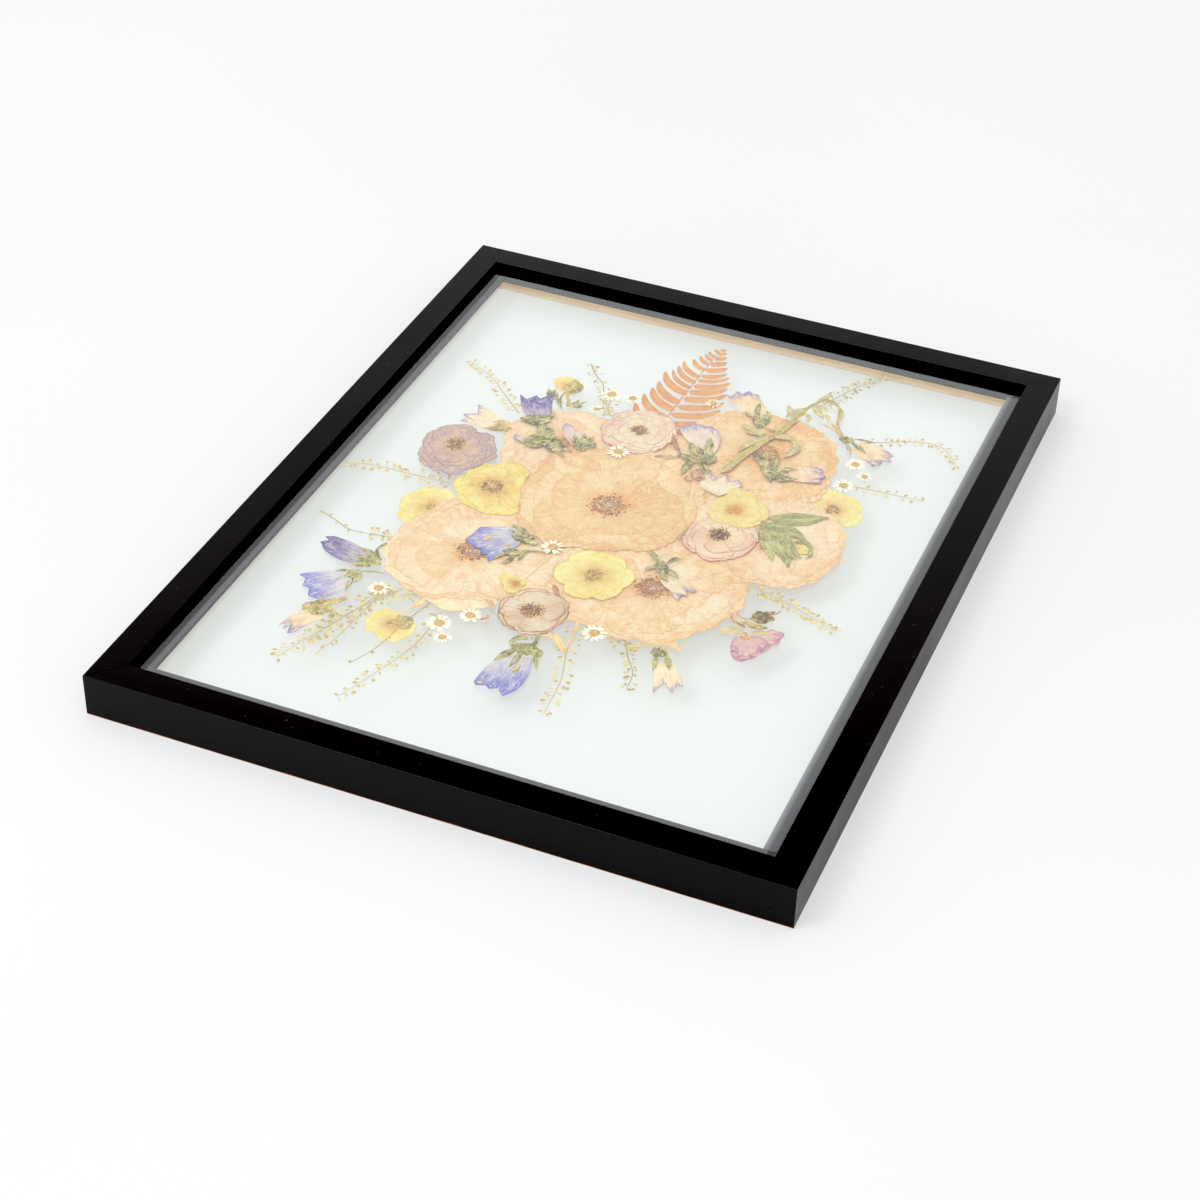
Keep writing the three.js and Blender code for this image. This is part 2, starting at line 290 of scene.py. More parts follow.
def select_in_mesh(obj, kind, chosen):
    """Selects the faces or points of the active mesh that pass a test, and stays in edit mode."""
    bpy.ops.object.mode_set(mode="EDIT")
    bpy.ops.mesh.select_mode(type=kind)
    bpy.ops.mesh.select_all(action="DESELECT")
    bpy.ops.object.mode_set(mode="OBJECT")
    for item in obj.data.polygons if kind == "FACE" else obj.data.vertices:
        item.select = chosen(item)
    bpy.ops.object.mode_set(mode="EDIT")


def face_outwards():
    """Turns all faces of the active closed mesh outwards."""
    bpy.ops.object.mode_set(mode="EDIT")
    bpy.ops.mesh.select_all(action="SELECT")
    bpy.ops.mesh.normals_make_consistent(inside=False)
    bpy.ops.object.mode_set(mode="OBJECT")


def finish_piece(obj, looks, node="", smooth=PETAL_SMOOTH):
    """Gives a piece its materials and ties it to the frame, in place of a CAD node if one is named."""
    select_only(obj)
    if smooth:
        bpy.ops.object.shade_smooth_by_angle(angle=math.radians(smooth))
    for look in looks:
        obj.data.materials.append(look)
    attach(obj, BODY)
    if node:
        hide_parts(node)


def layer_height(layer):
    """The underside of a layer of plants, counted from the back glass."""
    return BACK_GLASS_TOP + FIRST_LAYER_GAP + layer * LAYER_PITCH


def swell(x, y, rng, wavelength, count):
    """Smooth bumps between about -1 and 1, from a few seeded waves in all directions."""
    total = np.zeros(np.broadcast(x, y).shape)
    for _ in range(count):
        turn = rng.uniform(0, TAU)
        stretch = rng.uniform(0.7, 1.5) * wavelength
        phase = rng.uniform(0, TAU)
        total += np.sin(TAU * (x * math.cos(turn) + y * math.sin(turn)) / stretch + phase)
    return total / math.sqrt(count)


# points between two knots of a smooth line
LOOP_STEPS = 8
LINE_STEPS = 12


def curve_between(a, b, c, d, count):
    """Points on a smooth line from b towards c, with a before b and d after c."""
    t = np.linspace(0, 1, count, endpoint=False)[:, None]
    return 0.5 * (2 * b + (c - a) * t + (2 * a - 5 * b + 4 * c - d) * t**2 + (3 * b - a - 3 * c + d) * t**3)


def soft_loop(points):
    """A closed smooth line through a few points."""
    knots = np.array(points, float)
    around = [np.roll(knots, -k, axis=0) for k in (-1, 0, 1, 2)]
    return np.vstack([curve_between(*four, LOOP_STEPS) for four in zip(*around)])


def soft_line(points, count):
    """Points spaced along a smooth open line through a few points, with their directions."""
    knots = np.array(points, float)
    knots = np.vstack([2 * knots[0] - knots[1], knots, 2 * knots[-1] - knots[-2]])
    fours = zip(knots, knots[1:], knots[2:], knots[3:])
    line = np.vstack([*(curve_between(*four, LINE_STEPS) for four in fours), knots[-2]])
    steps = np.r_[0, np.cumsum(np.linalg.norm(np.diff(line, axis=0), axis=1))]
    wanted = np.linspace(0, steps[-1], count)
    spaced = np.column_stack([np.interp(wanted, steps, line[:, k]) for k in range(line.shape[1])])
    ways = np.gradient(spaced[:, :2], axis=0)
    return spaced, ways / np.linalg.norm(ways, axis=1)[:, None]


def reach_by_angle(outline, middle):
    """A function that gives how far a closed outline is from its middle, by angle."""
    spokes = soft_loop(outline) - np.array(middle, float)
    angles = np.arctan2(spokes[:, 1], spokes[:, 0])
    order = np.argsort(angles)
    return lambda angle: np.interp(
        angle, angles[order], np.hypot(*spokes.T)[order], period=TAU
    )


# ---- parts that plants share ----


# ripples of a petal's rim: (fewest and most waves in a turn, height as a share of the reach)
RUFFLES = (((9, 15), 0.012), ((22, 34), 0.010), ((48, 70), 0.008), ((95, 140), 0.005))


def petal(middle, reach, angle, half_angle, share, height, rng, rows, columns, relief, rounding, torn):
    """One petal, a fan from the middle of a bloom to its rim. share is how much of the reach it has."""
    x0, y0 = middle
    ruffles = [(rng.uniform(*band), rng.uniform(0, TAU), size * torn) for band, size in RUFFLES]
    lean = rng.choice((-1, 1)) * 0.05
    inner = 0.06

    def place(u, v):
        side = 2 * u - 1
        spread = half_angle * (0.58 + 0.42 * np.sin(np.minimum(v * 1.2, 1) * math.pi / 2))
        at = angle + side * spread
        rim = share * reach(at) * (1 - rounding * np.abs(side) ** 2.8)
        ripple = sum(size * np.sin(at * waves + phase) for waves, phase, size in ruffles)
        distance = rim * (inner + (1 - inner) * v) * (1 + ripple * v**3)
        x = x0 + distance * np.cos(at)
        y = y0 + distance * np.sin(at)
        folds = swell(at * 40, distance * 0.12, rng, 9, 5) * (0.3 + 0.7 * v)
        curls = swell(x, y, rng, 13, 5)
        return x, y, height + lean * side + relief * (0.5 * folds + 0.5 * curls)

    return sheet(columns, rows, place, rng.random())


def blade(line, width, height, shade, columns, rows, widest=0.45, keel=0.12, taper=1.0):
    """A leaf, sepal or narrow petal along a line, widest at a share of its length."""
    spaced, ways = soft_line(line, rows)

    def place(u, v):
        index = np.clip(np.rint(v * (rows - 1)).astype(int), 0, rows - 1)
        side = 2 * u - 1
        along = v ** math.log(0.5, widest)
        half = width / 2 * np.maximum(np.sin(np.pi * np.clip(along, 0.0, 1)) ** taper, 0.06)
        x = spaced[index, 0] - ways[index, 1] * side * half
        y = spaced[index, 1] + ways[index, 0] * side * half
        return x, y, height + keel * (np.abs(side) - 0.5) * np.sin(np.pi * v)

    return sheet(columns - 1, rows - 1, place, shade)


STEM_SIDES = 6
STEM_FLATNESS = 0.55


def stem(line, start, end, height, shade, rows=16):
    """A thin stem, from its start width to its end width, closed at both ends."""
    spaced, ways = soft_line(line, rows)

    def place(u, v):
        index = np.clip(np.rint(v * (rows - 1)).astype(int), 0, rows - 1)
        radius = (start + (end - start) * v) / 2 * np.where((v < 0.001) | (v > 0.999), 0.02, 1)
        turn = u * TAU
        x = spaced[index, 0] - ways[index, 1] * np.cos(turn) * radius
        y = spaced[index, 1] + ways[index, 0] * np.cos(turn) * radius
        return x, y, height - np.sin(turn) * radius * STEM_FLATNESS

    obj = sheet(STEM_SIDES, rows - 1, place, shade)
    select_only(obj)
    bpy.ops.object.mode_set(mode="EDIT")
    bpy.ops.mesh.select_all(action="SELECT")
    bpy.ops.mesh.remove_doubles(threshold=0.02 * MM)
    bpy.ops.mesh.normals_make_consistent(inside=False)
    bpy.ops.object.mode_set(mode="OBJECT")
    return obj


def grains(middle, radius, count, size, height, rng, hole=0.0, lift=0.12, low=0.0):
    """Small grains spread over a disc or, with a hole, over a ring."""
    placings = []
    for _ in range(count):
        angle = rng.uniform(0, TAU)
        distance = radius * math.sqrt(rng.uniform(hole**2, 1))
        x = middle[0] + distance * math.cos(angle)
        y = middle[1] + distance * math.sin(angle)
        long = size * rng.uniform(0.7, 1.3)
        z = height + lift * rng.random()
        matrix = placing(x, y, z, long, long * rng.uniform(0.45, 0.8), 0.22, rng.uniform(0, TAU))
        placings.append((matrix, rng.uniform(low, 1)))
    return copies(ball(6, 5), placings)


# ---- material helpers ----


class Graph:
    """A material's nodes, with a short call for each kind that is used here."""

    def __init__(self, name):
        self.material = bpy.data.materials.new(name)
        self.material.use_nodes = True
        self.tree = self.material.node_tree
        self.tree.nodes.clear()
        self.output = self.tree.nodes.new("ShaderNodeOutputMaterial")
        self.places = self.tree.nodes.new("ShaderNodeTexCoord").outputs["Object"]

    def add(self, kind, **settings):
        node = self.tree.nodes.new("ShaderNode" + kind)
        for key, value in settings.items():
            setattr(node, key, value)
        return node

    def feed(self, socket, value):
        """Links a socket to another, or sets its value."""
        if isinstance(value, bpy.types.NodeSocket):
            self.tree.links.new(value, socket)
        elif value is not None:
            if socket.type == "RGBA" and len(value) == 3:
                value = (*value, 1)
            socket.default_value = value

    def maths(self, operation, a, b=None):
        node = self.add("Math", operation=operation)
        self.feed(node.inputs[0], a)
        self.feed(node.inputs[1], b)
        return node.outputs[0]

    def plus(self, a, b):
        return self.maths("ADD", a, b)

    def minus(self, a, b):
        return self.maths("SUBTRACT", a, b)

    def times(self, a, b):
        return self.maths("MULTIPLY", a, b)

    def larger(self, a, b):
        return self.maths("MAXIMUM", a, b)

    def absolute(self, a):
        return self.maths("ABSOLUTE", a)

    def noise(self, scale, vector=None, detail=3, roughness=0.55, distortion=0):
        node = self.add("TexNoise")
        self.feed(node.inputs["Vector"], vector or self.places)
        for name, value in (
            ("Scale", scale), ("Detail", detail), ("Roughness", roughness), ("Distortion", distortion)
        ):
            self.feed(node.inputs[name], value)
        return node.outputs["Fac"]

    def lines(self, scale, width, detail, distortion):
        """Thin wandering lines, 1 on the line and 0 beside it."""
        field = self.noise(scale, None, detail, 0.5, distortion)
        return self.span(self.absolute(self.minus(field, 0.5)), 0.0, width, 1, 0)

    def stretched(self, vector, scale):
        node = self.add("Mapping")
        self.feed(node.inputs["Vector"], vector)
        self.feed(node.inputs["Scale"], scale)
        return node.outputs[0]

    def uv(self):
        return self.add("UVMap", uv_map="UVMap").outputs[0]

    def shade(self):
        return self.add("Attribute", attribute_name="shade").outputs["Fac"]

    def split(self, vector):
        node = self.add("SeparateXYZ")
        self.feed(node.inputs[0], vector)
        return node.outputs

    def span(self, value, low, high, to_low=0.0, to_high=1.0):
        """Maps a value from low..high to to_low..to_high, clamped, with soft ends."""
        node = self.add("MapRange", interpolation_type="SMOOTHSTEP")
        for name, number in (
            ("Value", value), ("From Min", low), ("From Max", high), ("To Min", to_low), ("To Max", to_high)
        ):
            self.feed(node.inputs[name], number)
        return node.outputs[0]

    def mix(self, factor, a, b):
        node = self.add("Mix", data_type="RGBA")
        self.feed(node.inputs[0], factor)
        self.feed(node.inputs[6], a)
        self.feed(node.inputs[7], b)
        return node.outputs[2]

    def tint(self, colour, other, value, low, high, share=1.0):
        """Mixes up to a share of another colour in, where a value goes from low to high."""
        return self.mix(self.span(value, low, high, 0, share), colour, other)

    def bump(self, height, strength, distance):
        node = self.add("Bump")
        self.feed(node.inputs["Height"], height)
        node.inputs["Strength"].default_value = strength
        node.inputs["Distance"].default_value = distance * MM
        return node.outputs[0]

    def principled(self, colour, roughness, normal=None, **values):
        node = self.add("BsdfPrincipled")
        self.feed(node.inputs["Base Color"], colour)
        self.feed(node.inputs["Roughness"], roughness)
        if normal is not None:
            self.feed(node.inputs["Normal"], normal)
        for name, value in values.items():
            node.inputs[name.replace("_", " ")].default_value = value
        return node.outputs[0]

    def finish(self, surface):
        self.tree.links.new(surface, self.output.inputs["Surface"])
        return self.material

    def finish_thin(self, colour, surface, normal, translucency):
        """Ends with a thin tissue: some of the light goes through it."""
        through = self.add("BsdfTranslucent")
        self.feed(through.inputs["Color"], colour)
        self.feed(through.inputs["Normal"], normal)
        both = self.add("MixShader")
        both.inputs[0].default_value = translucency
        self.tree.links.new(surface, both.inputs[1])
        self.tree.links.new(through.outputs[0], both.inputs[2])
        return self.finish(both.outputs[0])


def rgb(*values):
    """A linear colour from screen values, 0 to 255."""
    return tuple(screen_to_linear(value) for value in values)


def paint_material(settings):
    """Satin black paint: fine pores, faint wear, a few specks of dust, a rubbed bottom edge, and a painted
    sheen that makes the outer walls lighter.
    """
    g = Graph("black_paint")
    worn = g.noise(60, detail=2, roughness=0.6)
    colour = g.tint(tuple(settings.paint), tuple(settings.worn_paint), worn, 0.6, 0.8, 0.3)
    colour = g.tint(colour, rgb(120, 116, 112), g.noise(420, detail=0), 0.85, 0.89, 0.12)
    x, y, z = g.split(g.places)
    # painted sheen: the outer walls get a lighter colour in place of the reflection they catch
    wall_skin = 0.3
    beside = g.minus(g.absolute(x), (OUTER_X - wall_skin) * MM)
    beyond = g.minus(g.absolute(y), (OUTER_Y - wall_skin) * MM)
    wall_sheen_mask = g.larger(g.span(beside, 0, 0.1 * MM, 0, 0.3), g.span(beyond, 0, 0.1 * MM))
    colour = g.mix(wall_sheen_mask, colour, tuple(settings.painted_wall_sheen))
    rubbed = g.plus(z, g.times(g.minus(g.noise(50), 0.5), 1.2 * MM))
    colour = g.mix(g.span(rubbed, 0.4 * MM, 0.7 * MM, 0.8, 0), colour, rgb(176, 116, 70))
    roughness = g.span(g.noise(14, detail=4), 0.3, 0.7, 0.26, 0.36)
    normal = g.bump(g.noise(900, detail=2, roughness=0.6), 0.15, 0.03)
    return g.finish(g.principled(colour, roughness, normal, Specular_IOR_Level=0.23))


def wood_material(settings):
    """Bare pale wood with long grain."""
    g = Graph("bare_wood")
    grain = g.noise(9, g.stretched(g.places, (3, 3, 30)), 5, 0.6, 0.4)
    lines = g.noise(60, g.stretched(g.places, (1, 1, 16)), 3, 0.5)
    colour = g.tint(tuple(settings.wood), tuple(settings.wood_grain), grain, 0.35, 0.7)
    colour = g.tint(colour, rgb(206, 164, 110), lines, 0.55, 0.8, 0.35)
    return g.finish(g.principled(colour, 0.75, g.bump(lines, 0.3, 0.1)))


def glass_material(settings):
    """Clear glass with a faint tint."""
    g = Graph("clear_glass")
    return g.finish(g.principled(tuple(settings.tint), 0.0, IOR=settings.ior, Transmission_Weight=1.0))


def spacer_material(settings):
    """Black strip with long rolled lines. A band towards the opening is painted lighter grey, painted light
    that evens out the lip's shade, and the right strip is painted lighter still, palest at its inner edge.
    """
    g = Graph("black_spacer")
    low, _ = node_limits("spacer_right")
    _, near_high = node_limits("spacer_near")
    x, y, _ = g.split(g.places)
    from_side = g.minus(g.absolute(x), low[0] * MM)
    from_end = g.minus(g.absolute(y), -near_high[1] * MM)
    inset = g.larger(from_side, from_end)
    across = g.add("CombineXYZ")
    g.feed(across.inputs["X"], inset)
    rolled = g.noise(900, across.outputs[0], detail=2)
    # painted light: the top of each strip is painted lighter grey in a band towards the opening, evening out
    # the shade under the lip; the right strip gets it all over
    on_top = g.span(inset, 0.1 * MM, 0.3 * MM)
    painted_light_band = g.times(on_top, g.span(inset, 2.4 * MM, 3.4 * MM, 1, 0))
    on_right = g.times(g.span(x, 0.16, 0.161), g.span(from_end, 0, -0.5 * MM))
    painted_light_band = g.larger(painted_light_band, g.times(on_right, 0.8))
    colour = g.mix(painted_light_band, tuple(settings.spacer), rgb(104, 104, 108))
    colour = g.tint(colour, rgb(84, 84, 88), rolled, 0.5, 0.7, 0.5)
    # painted light: a pale gradient on the right strip, palest at its inner edge
    painted_pale_edge = g.times(on_right, g.span(inset, -0.3 * MM, 4 * MM, 0.5, 0))
    colour = g.mix(painted_pale_edge, colour, rgb(178, 184, 184))
    return g.finish(g.principled(colour, 0.5, g.bump(rolled, 0.1, 0.02), Specular_IOR_Level=0.1))


def steel_material(settings):
    """Brushed, zinc-plated sheet steel."""
    g = Graph("zinc_steel")
    brushed = g.noise(120, g.stretched(g.places, (1, 8, 1)), 3)
    colour = g.tint(tuple(settings.steel), rgb(140, 142, 146), brushed, 0.3, 0.7)
    roughness = g.span(brushed, 0.3, 0.7, 0.28, 0.45)
    return g.finish(g.principled(colour, roughness, g.bump(brushed, 0.1, 0.02), Metallic=1.0))


def petal_material(
    name, body, deep, pale, rim, glow, translucency, glow_reach, pale_reach, creases, outlines,
    fibres=0.4, rim_width=0.022, rim_depth=0.6, tone=0.22, tip=None, tip_start=None,
):
    """A dry petal: glow round the middle, pale further out, deeper to the rim, fibres, and folds with painted
    shade in their creases and painted highlights beside them.
    """
    g = Graph(name)
    uv = g.uv()
    across, along, _ = g.split(uv)
    wash = g.noise(42, detail=5, roughness=0.62, distortion=0.5)
    ragged = g.plus(along, g.times(g.minus(wash, 0.5), 0.7))
    colour = g.tint(pale, body, ragged, pale_reach - 0.3, pale_reach + 0.35)
    colour = g.tint(colour, deep, wash, 0.46, 0.68, 0.8)
    colour = g.tint(colour, deep, g.shade(), 0.4, 1, tone)
    colour = g.tint(colour, pale, g.shade(), 0.6, 0, tone)
    mottle = g.noise(330, detail=3, roughness=0.65, distortion=0.6)
    colour = g.tint(colour, deep, mottle, 0.54, 0.7, 0.4)
    colour = g.tint(colour, pale, mottle, 0.46, 0.32, 0.6)
    near_rim = g.times(g.span(ragged, 0.75, 1.1), g.span(g.noise(26, detail=2), 0.42, 0.62))
    colour = g.mix(g.times(near_rim, rim_depth), colour, deep)
    fibre = g.noise(9, g.stretched(uv, (2.4, 0.35, 1)), 5, 0.6, 0.25)
    if tip is not None:
        reach = g.plus(ragged, g.times(g.minus(fibre, 0.5), 1.6))
        colour = g.tint(colour, tip, reach, tip_start, 1.05, 0.95)
    spokes = g.noise(6, g.stretched(uv, (6, 0.5, 1)), 4, 0.6, 0.3)
    glow_edge = g.plus(along, g.times(g.minus(spokes, 0.5), 0.9))
    colour = g.mix(g.span(glow_edge, 0.0, glow_reach, 0.95, 0), colour, glow)
    colour = g.tint(colour, deep, fibre, 0.5, 0.72, fibres)
    colour = g.tint(colour, pale, fibre, 0.5, 0.3, fibres)
    colour = g.tint(colour, deep, spokes, 0.52, 0.7, fibres * 0.6)
    threads = g.noise(24, g.stretched(uv, (8, 0.45, 1)), 3, 0.6, 0.4)
    colour = g.tint(colour, deep, threads, 0.52, 0.66, fibres * 0.8)
    colour = g.tint(colour, pale, threads, 0.48, 0.34, fibres * 0.8)
    # painted shade in the creases: thin dark lines of the rim colour; painted highlights: pale lines on the
    # folds beside them
    painted_crease_shade = g.lines(48, 0.013, 3, 1.6)
    cover = g.span(g.noise(30, detail=2), 0.46, 0.64)
    colour = g.mix(g.times(painted_crease_shade, g.times(cover, creases)), colour, rim)
    lit_folds = g.lines(90, 0.03, 2, 2)
    colour = g.mix(g.times(lit_folds, creases * 0.9), colour, pale)
    from_side = g.minus(0.5, g.absolute(g.minus(across, 0.5)))
    at_side = g.times(g.span(from_side, 0.0, 0.03, outlines, 0), g.span(along, 0.25, 0.6))
    colour = g.mix(at_side, colour, rim)
    fray = g.times(g.minus(g.noise(120, detail=3), 0.5), rim_width * 2)
    to_rim = g.plus(g.minus(1.0, along), fray)
    colour = g.mix(g.span(to_rim, 0.0, rim_width, min(1.6 * outlines, 0.95), 0), colour, rim)
    crumple = g.noise(150, detail=4, roughness=0.55, distortion=0.8)
    crumple_fold = g.absolute(g.minus(crumple, 0.5))
    height = g.plus(g.times(fibre, 0.6), g.times(crumple_fold, 1.6))
    height = g.plus(height, g.times(wash, 1.0))
    normal = g.bump(height, 0.75, 1.1)
    surface = g.principled(colour, 0.7, normal, Specular_IOR_Level=0.25)
    return g.finish_thin(colour, surface, normal, translucency)


def leaf_material(name, light, dark, pale, translucency, scale=1.0, blotches=1.0):
    """A dry leaf or sepal: blotched, with a pale midrib and crumpled folds along it, the folds painted with
    highlights and shade.
    """
    g = Graph(name)
    uv = g.uv()
    across, _, _ = g.split(uv)
    blotch = g.noise(110 * scale, detail=5, roughness=0.65)
    colour = g.tint(light, dark, blotch, 0.44, 0.6, blotches)
    colour = g.tint(colour, dark, g.shade(), 0.2, 1, 0.5)
    # painted highlight and painted shade: the crumple noise makes pale and dark patches as well as the bump
    fold = g.noise(320 * scale, detail=3, roughness=0.6, distortion=1.2)
    colour = g.tint(colour, pale, fold, 0.52, 0.66, 0.75)
    colour = g.tint(colour, dark, fold, 0.44, 0.34, 0.6)
    along = g.noise(8, g.stretched(uv, (3.5, 0.3, 1)), 3, 0.6, 0.2)
    colour = g.tint(colour, pale, along, 0.52, 0.64, 0.7)
    colour = g.tint(colour, dark, along, 0.46, 0.36, 0.8)
    rib = g.absolute(g.minus(across, 0.5))
    colour = g.mix(g.span(rib, 0.0, 0.07, 0.45, 0), colour, pale)
    normal = g.bump(g.plus(g.plus(along, blotch), fold), 0.6, 0.3)
    surface = g.principled(colour, 0.72, normal, Specular_IOR_Level=0.3)
    return g.finish_thin(colour, surface, normal, translucency)


def grain_material(name, light, dark, translucency=0.1):
    """Small dry grains, seeds and anthers, each with its own shade."""
    g = Graph(name)
    fleck = g.noise(1300, detail=2)
    colour = g.tint(light, dark, g.shade(), 0.15, 0.85)
    colour = g.tint(colour, dark, fleck, 0.5, 0.75, 0.4)
    normal = g.bump(fleck, 0.3, 0.06)
    surface = g.principled(colour, 0.7, normal, Specular_IOR_Level=0.3)
    return g.finish_thin(colour, surface, normal, translucency)


def floor_material(settings):
    """A plain pale floor, faintly clouded, with a little light of its own."""
    g = Graph("studio_floor")
    cloud = g.noise(1.5, detail=2)
    colour = g.tint(tuple(settings.floor), rgb(165, 165, 167), cloud, 0.3, 0.7)
    surface = g.principled(
        colour, 0.9, Specular_IOR_Level=0.1, Emission_Strength=settings.floor_glow,
        Emission_Color=(1, 1, 1, 1),
    )
    return g.finish(surface)


made = {}


def material(make, name, *values, **named):
    """Makes a material once and gives it again when it is asked for."""
    if name not in made:
        made[name] = make(name, *values, **named)
    return made[name]


# kind: (body, deep, pale, rim, glow), in screen colours, and how the material is drawn
PETAL_LOOKS = {
    "peach": ((250, 219, 168), (240, 192, 130), (255, 238, 198), (222, 160, 104), (242, 170, 66),
              dict(glow_reach=0.6, pale_reach=0.5, fibres=0.65, creases=0.5, outlines=0.32, tone=0.6)),
    "pale_peach": ((252, 228, 186), (245, 202, 142), (255, 246, 218), (224, 164, 112), (244, 174, 70),
                   dict(glow_reach=0.6, pale_reach=0.55, fibres=0.65, creases=0.5, outlines=0.3, tone=0.65)),
    "gold_peach": ((252, 225, 174), (243, 190, 118), (255, 239, 202), (222, 154, 94), (244, 172, 60),
                   dict(glow_reach=0.75, pale_reach=0.6, fibres=0.7, creases=0.5, outlines=0.34, tone=0.65)),
    "blush": ((250, 228, 206), (238, 200, 188), (255, 244, 208), (206, 128, 112), (250, 220, 130),
              dict(glow_reach=0.7, pale_reach=0.8, rim_width=0.04, creases=0.3, outlines=0.45)),
    "pink": ((249, 226, 200), (236, 194, 174), (255, 243, 204), (204, 114, 90), (252, 220, 120),
             dict(glow_reach=0.7, pale_reach=0.75, rim_width=0.05, creases=0.3, outlines=0.5)),
    "beige": ((238, 214, 180), (222, 186, 150), (248, 234, 204), (170, 98, 54), (248, 208, 110),
              dict(glow_reach=0.55, pale_reach=0.85, rim_width=0.06, creases=0.3, outlines=0.6)),
    "mauve": ((221, 194, 190), (196, 160, 168), (242, 218, 180), (160, 106, 122), (236, 200, 122),
              dict(glow_reach=0.9, pale_reach=0.65, fibres=0.8, rim_width=0.04, creases=0.4, outlines=0.45)),
    "yellow": ((251, 239, 140), (246, 214, 100), (254, 250, 180), (206, 158, 84), (230, 150, 58),
               dict(glow_reach=1.0, pale_reach=0.8, rim_depth=0.1, fibres=0.8, creases=0.35, outlines=0.42)),
    "olive_yellow": ((246, 231, 146), (238, 206, 110), (253, 246, 184), (202, 156, 84), (242, 170, 68),
                     dict(glow_reach=0.95, pale_reach=0.8, rim_depth=0.1, fibres=0.8, creases=0.35,
                          outlines=0.42)),
    "pale_yellow": ((252, 244, 158), (249, 226, 124), (255, 250, 192), (216, 178, 98), (238, 176, 78),
                    dict(glow_reach=0.95, pale_reach=0.8, rim_depth=0.1, fibres=0.7, creases=0.35,
                         outlines=0.4)),
}

# kind: (body, deep, pale, rim, foot, mouth), in screen colours, and where the mouth's colour starts
BELL_LOOKS = {
    "purple": ((176, 158, 202), (104, 84, 172), (230, 216, 218), (66, 48, 138), (206, 196, 168),
               (74, 57, 156), 0.12),
    "blue": ((214, 210, 224), (158, 162, 218), (244, 236, 228), (92, 86, 188), (238, 214, 180),
             (92, 100, 216), 0.34),
    "peach": ((255, 230, 186), (250, 206, 150), (255, 244, 214), (150, 122, 184), (232, 210, 138),
              (112, 98, 200), 0.54),
    "lilac": ((246, 224, 208), (226, 198, 198), (255, 240, 218), (156, 130, 182), (232, 214, 158),
              (130, 120, 208), 0.72),
    "cream": ((255, 236, 202), (244, 212, 166), (255, 247, 222), (178, 144, 160), (226, 206, 134),
              (142, 132, 208), 0.74),
    "magenta": ((236, 204, 196), (222, 172, 190), (246, 222, 200), (180, 92, 156), (250, 206, 104),
                (198, 108, 178), 0.64),
}


def tissue(kind):
    """The petal material of a kind of bloom."""
    *colours, look = PETAL_LOOKS[kind]
    share = bpy.context.scene.flower_frame_flowers.translucency
    return material(petal_material, "petal_" + kind, *(rgb(*c) for c in colours), share, **look)


def bell_tissue(kind):
    """The petal material of a kind of bell flower: pale at its foot, violet at its mouth."""
    *colours, mouth, start = BELL_LOOKS[kind]
    share = bpy.context.scene.flower_frame_flowers.translucency
    return material(
        petal_material, "bell_" + kind, *(rgb(*c) for c in colours), share, glow_reach=0.2,
        pale_reach=0.5, fibres=0.95, rim_width=0.05, rim_depth=0.3, creases=0.6, outlines=0.45,
        tip=rgb(*mouth), tip_start=start,
    )


# ---- the wood frame, the glasses and what holds them ----


def make_rail(name, outer, half_length, quarter_turns):
    """A rail cut from a block: rabbet taken out, ends mitred, long edges rounded."""
    obj = block(
        (FACE * MM, 2 * half_length * MM, DEPTH * MM), ((outer - FACE / 2) * MM, 0, DEPTH / 2 * MM)
    )
    wall = (outer - RAIL_WALL) * MM
    bpy.ops.object.mode_set(mode="EDIT")
    for place, normal in (
        ((wall, 0, 0), (1, 0, 0)),
        ((0, 0, FRONT_GLASS_TOP * MM), (0, 0, 1)),
    ):
        bpy.ops.mesh.select_all(action="SELECT")
        bpy.ops.mesh.bisect(plane_co=place, plane_no=normal)
    bpy.ops.object.mode_set(mode="OBJECT")
    cut_rabbet(obj, wall)
    round_long_edges(obj, bpy.context.scene.flower_frame_frame.edge_round)
    cut_mitres(obj, outer, half_length)
    mark_bare_wood(obj, wall)
    turn = Matrix.Rotation(quarter_turns * math.pi / 2, 4, "Z")
    obj.data.transform(turn)
    obj.name = obj.data.name = name
    return obj


def cut_rabbet(obj, wall):
    """Deletes the block's corner under the lip and closes it with a wall and a ledge."""
    ledge = FRONT_GLASS_TOP * MM
    slack = 1e-6

    def in_corner(p):
        return p.x < wall + slack and p.z < ledge + slack

    def on_wall(p):
        return abs(p.x - wall) < slack

    def on_ledge(p):
        return abs(p.z - ledge) < slack

    select_in_mesh(
        obj, "FACE", lambda face: all(in_corner(obj.data.vertices[i].co) for i in face.vertices)
    )
    bpy.ops.mesh.delete(type="FACE")
    for on_plane in (on_wall, on_ledge):
        select_in_mesh(obj, "VERT", lambda vertex: on_plane(vertex.co) and in_corner(vertex.co))
        bpy.ops.mesh.edge_face_add()
    face_outwards()


def round_long_edges(obj, width):
    """Rounds the edges along the rail: both ends are opened first, and closed again after."""
    half = max(vertex.co.y for vertex in obj.data.vertices)
    select_in_mesh(obj, "FACE", lambda face: abs(face.normal.y) > 0.9)
    bpy.ops.mesh.delete(type="FACE")
    bpy.ops.object.mode_set(mode="OBJECT")
    apply_modifier(
        obj, "BEVEL", width=width, segments=3, limit_method="ANGLE", angle_limit=math.radians(60)
    )
    for end in (-half, half):
        select_in_mesh(obj, "VERT", lambda vertex: abs(vertex.co.y - end) < 0.1 * MM)
        bpy.ops.mesh.edge_face_add()
    face_outwards()


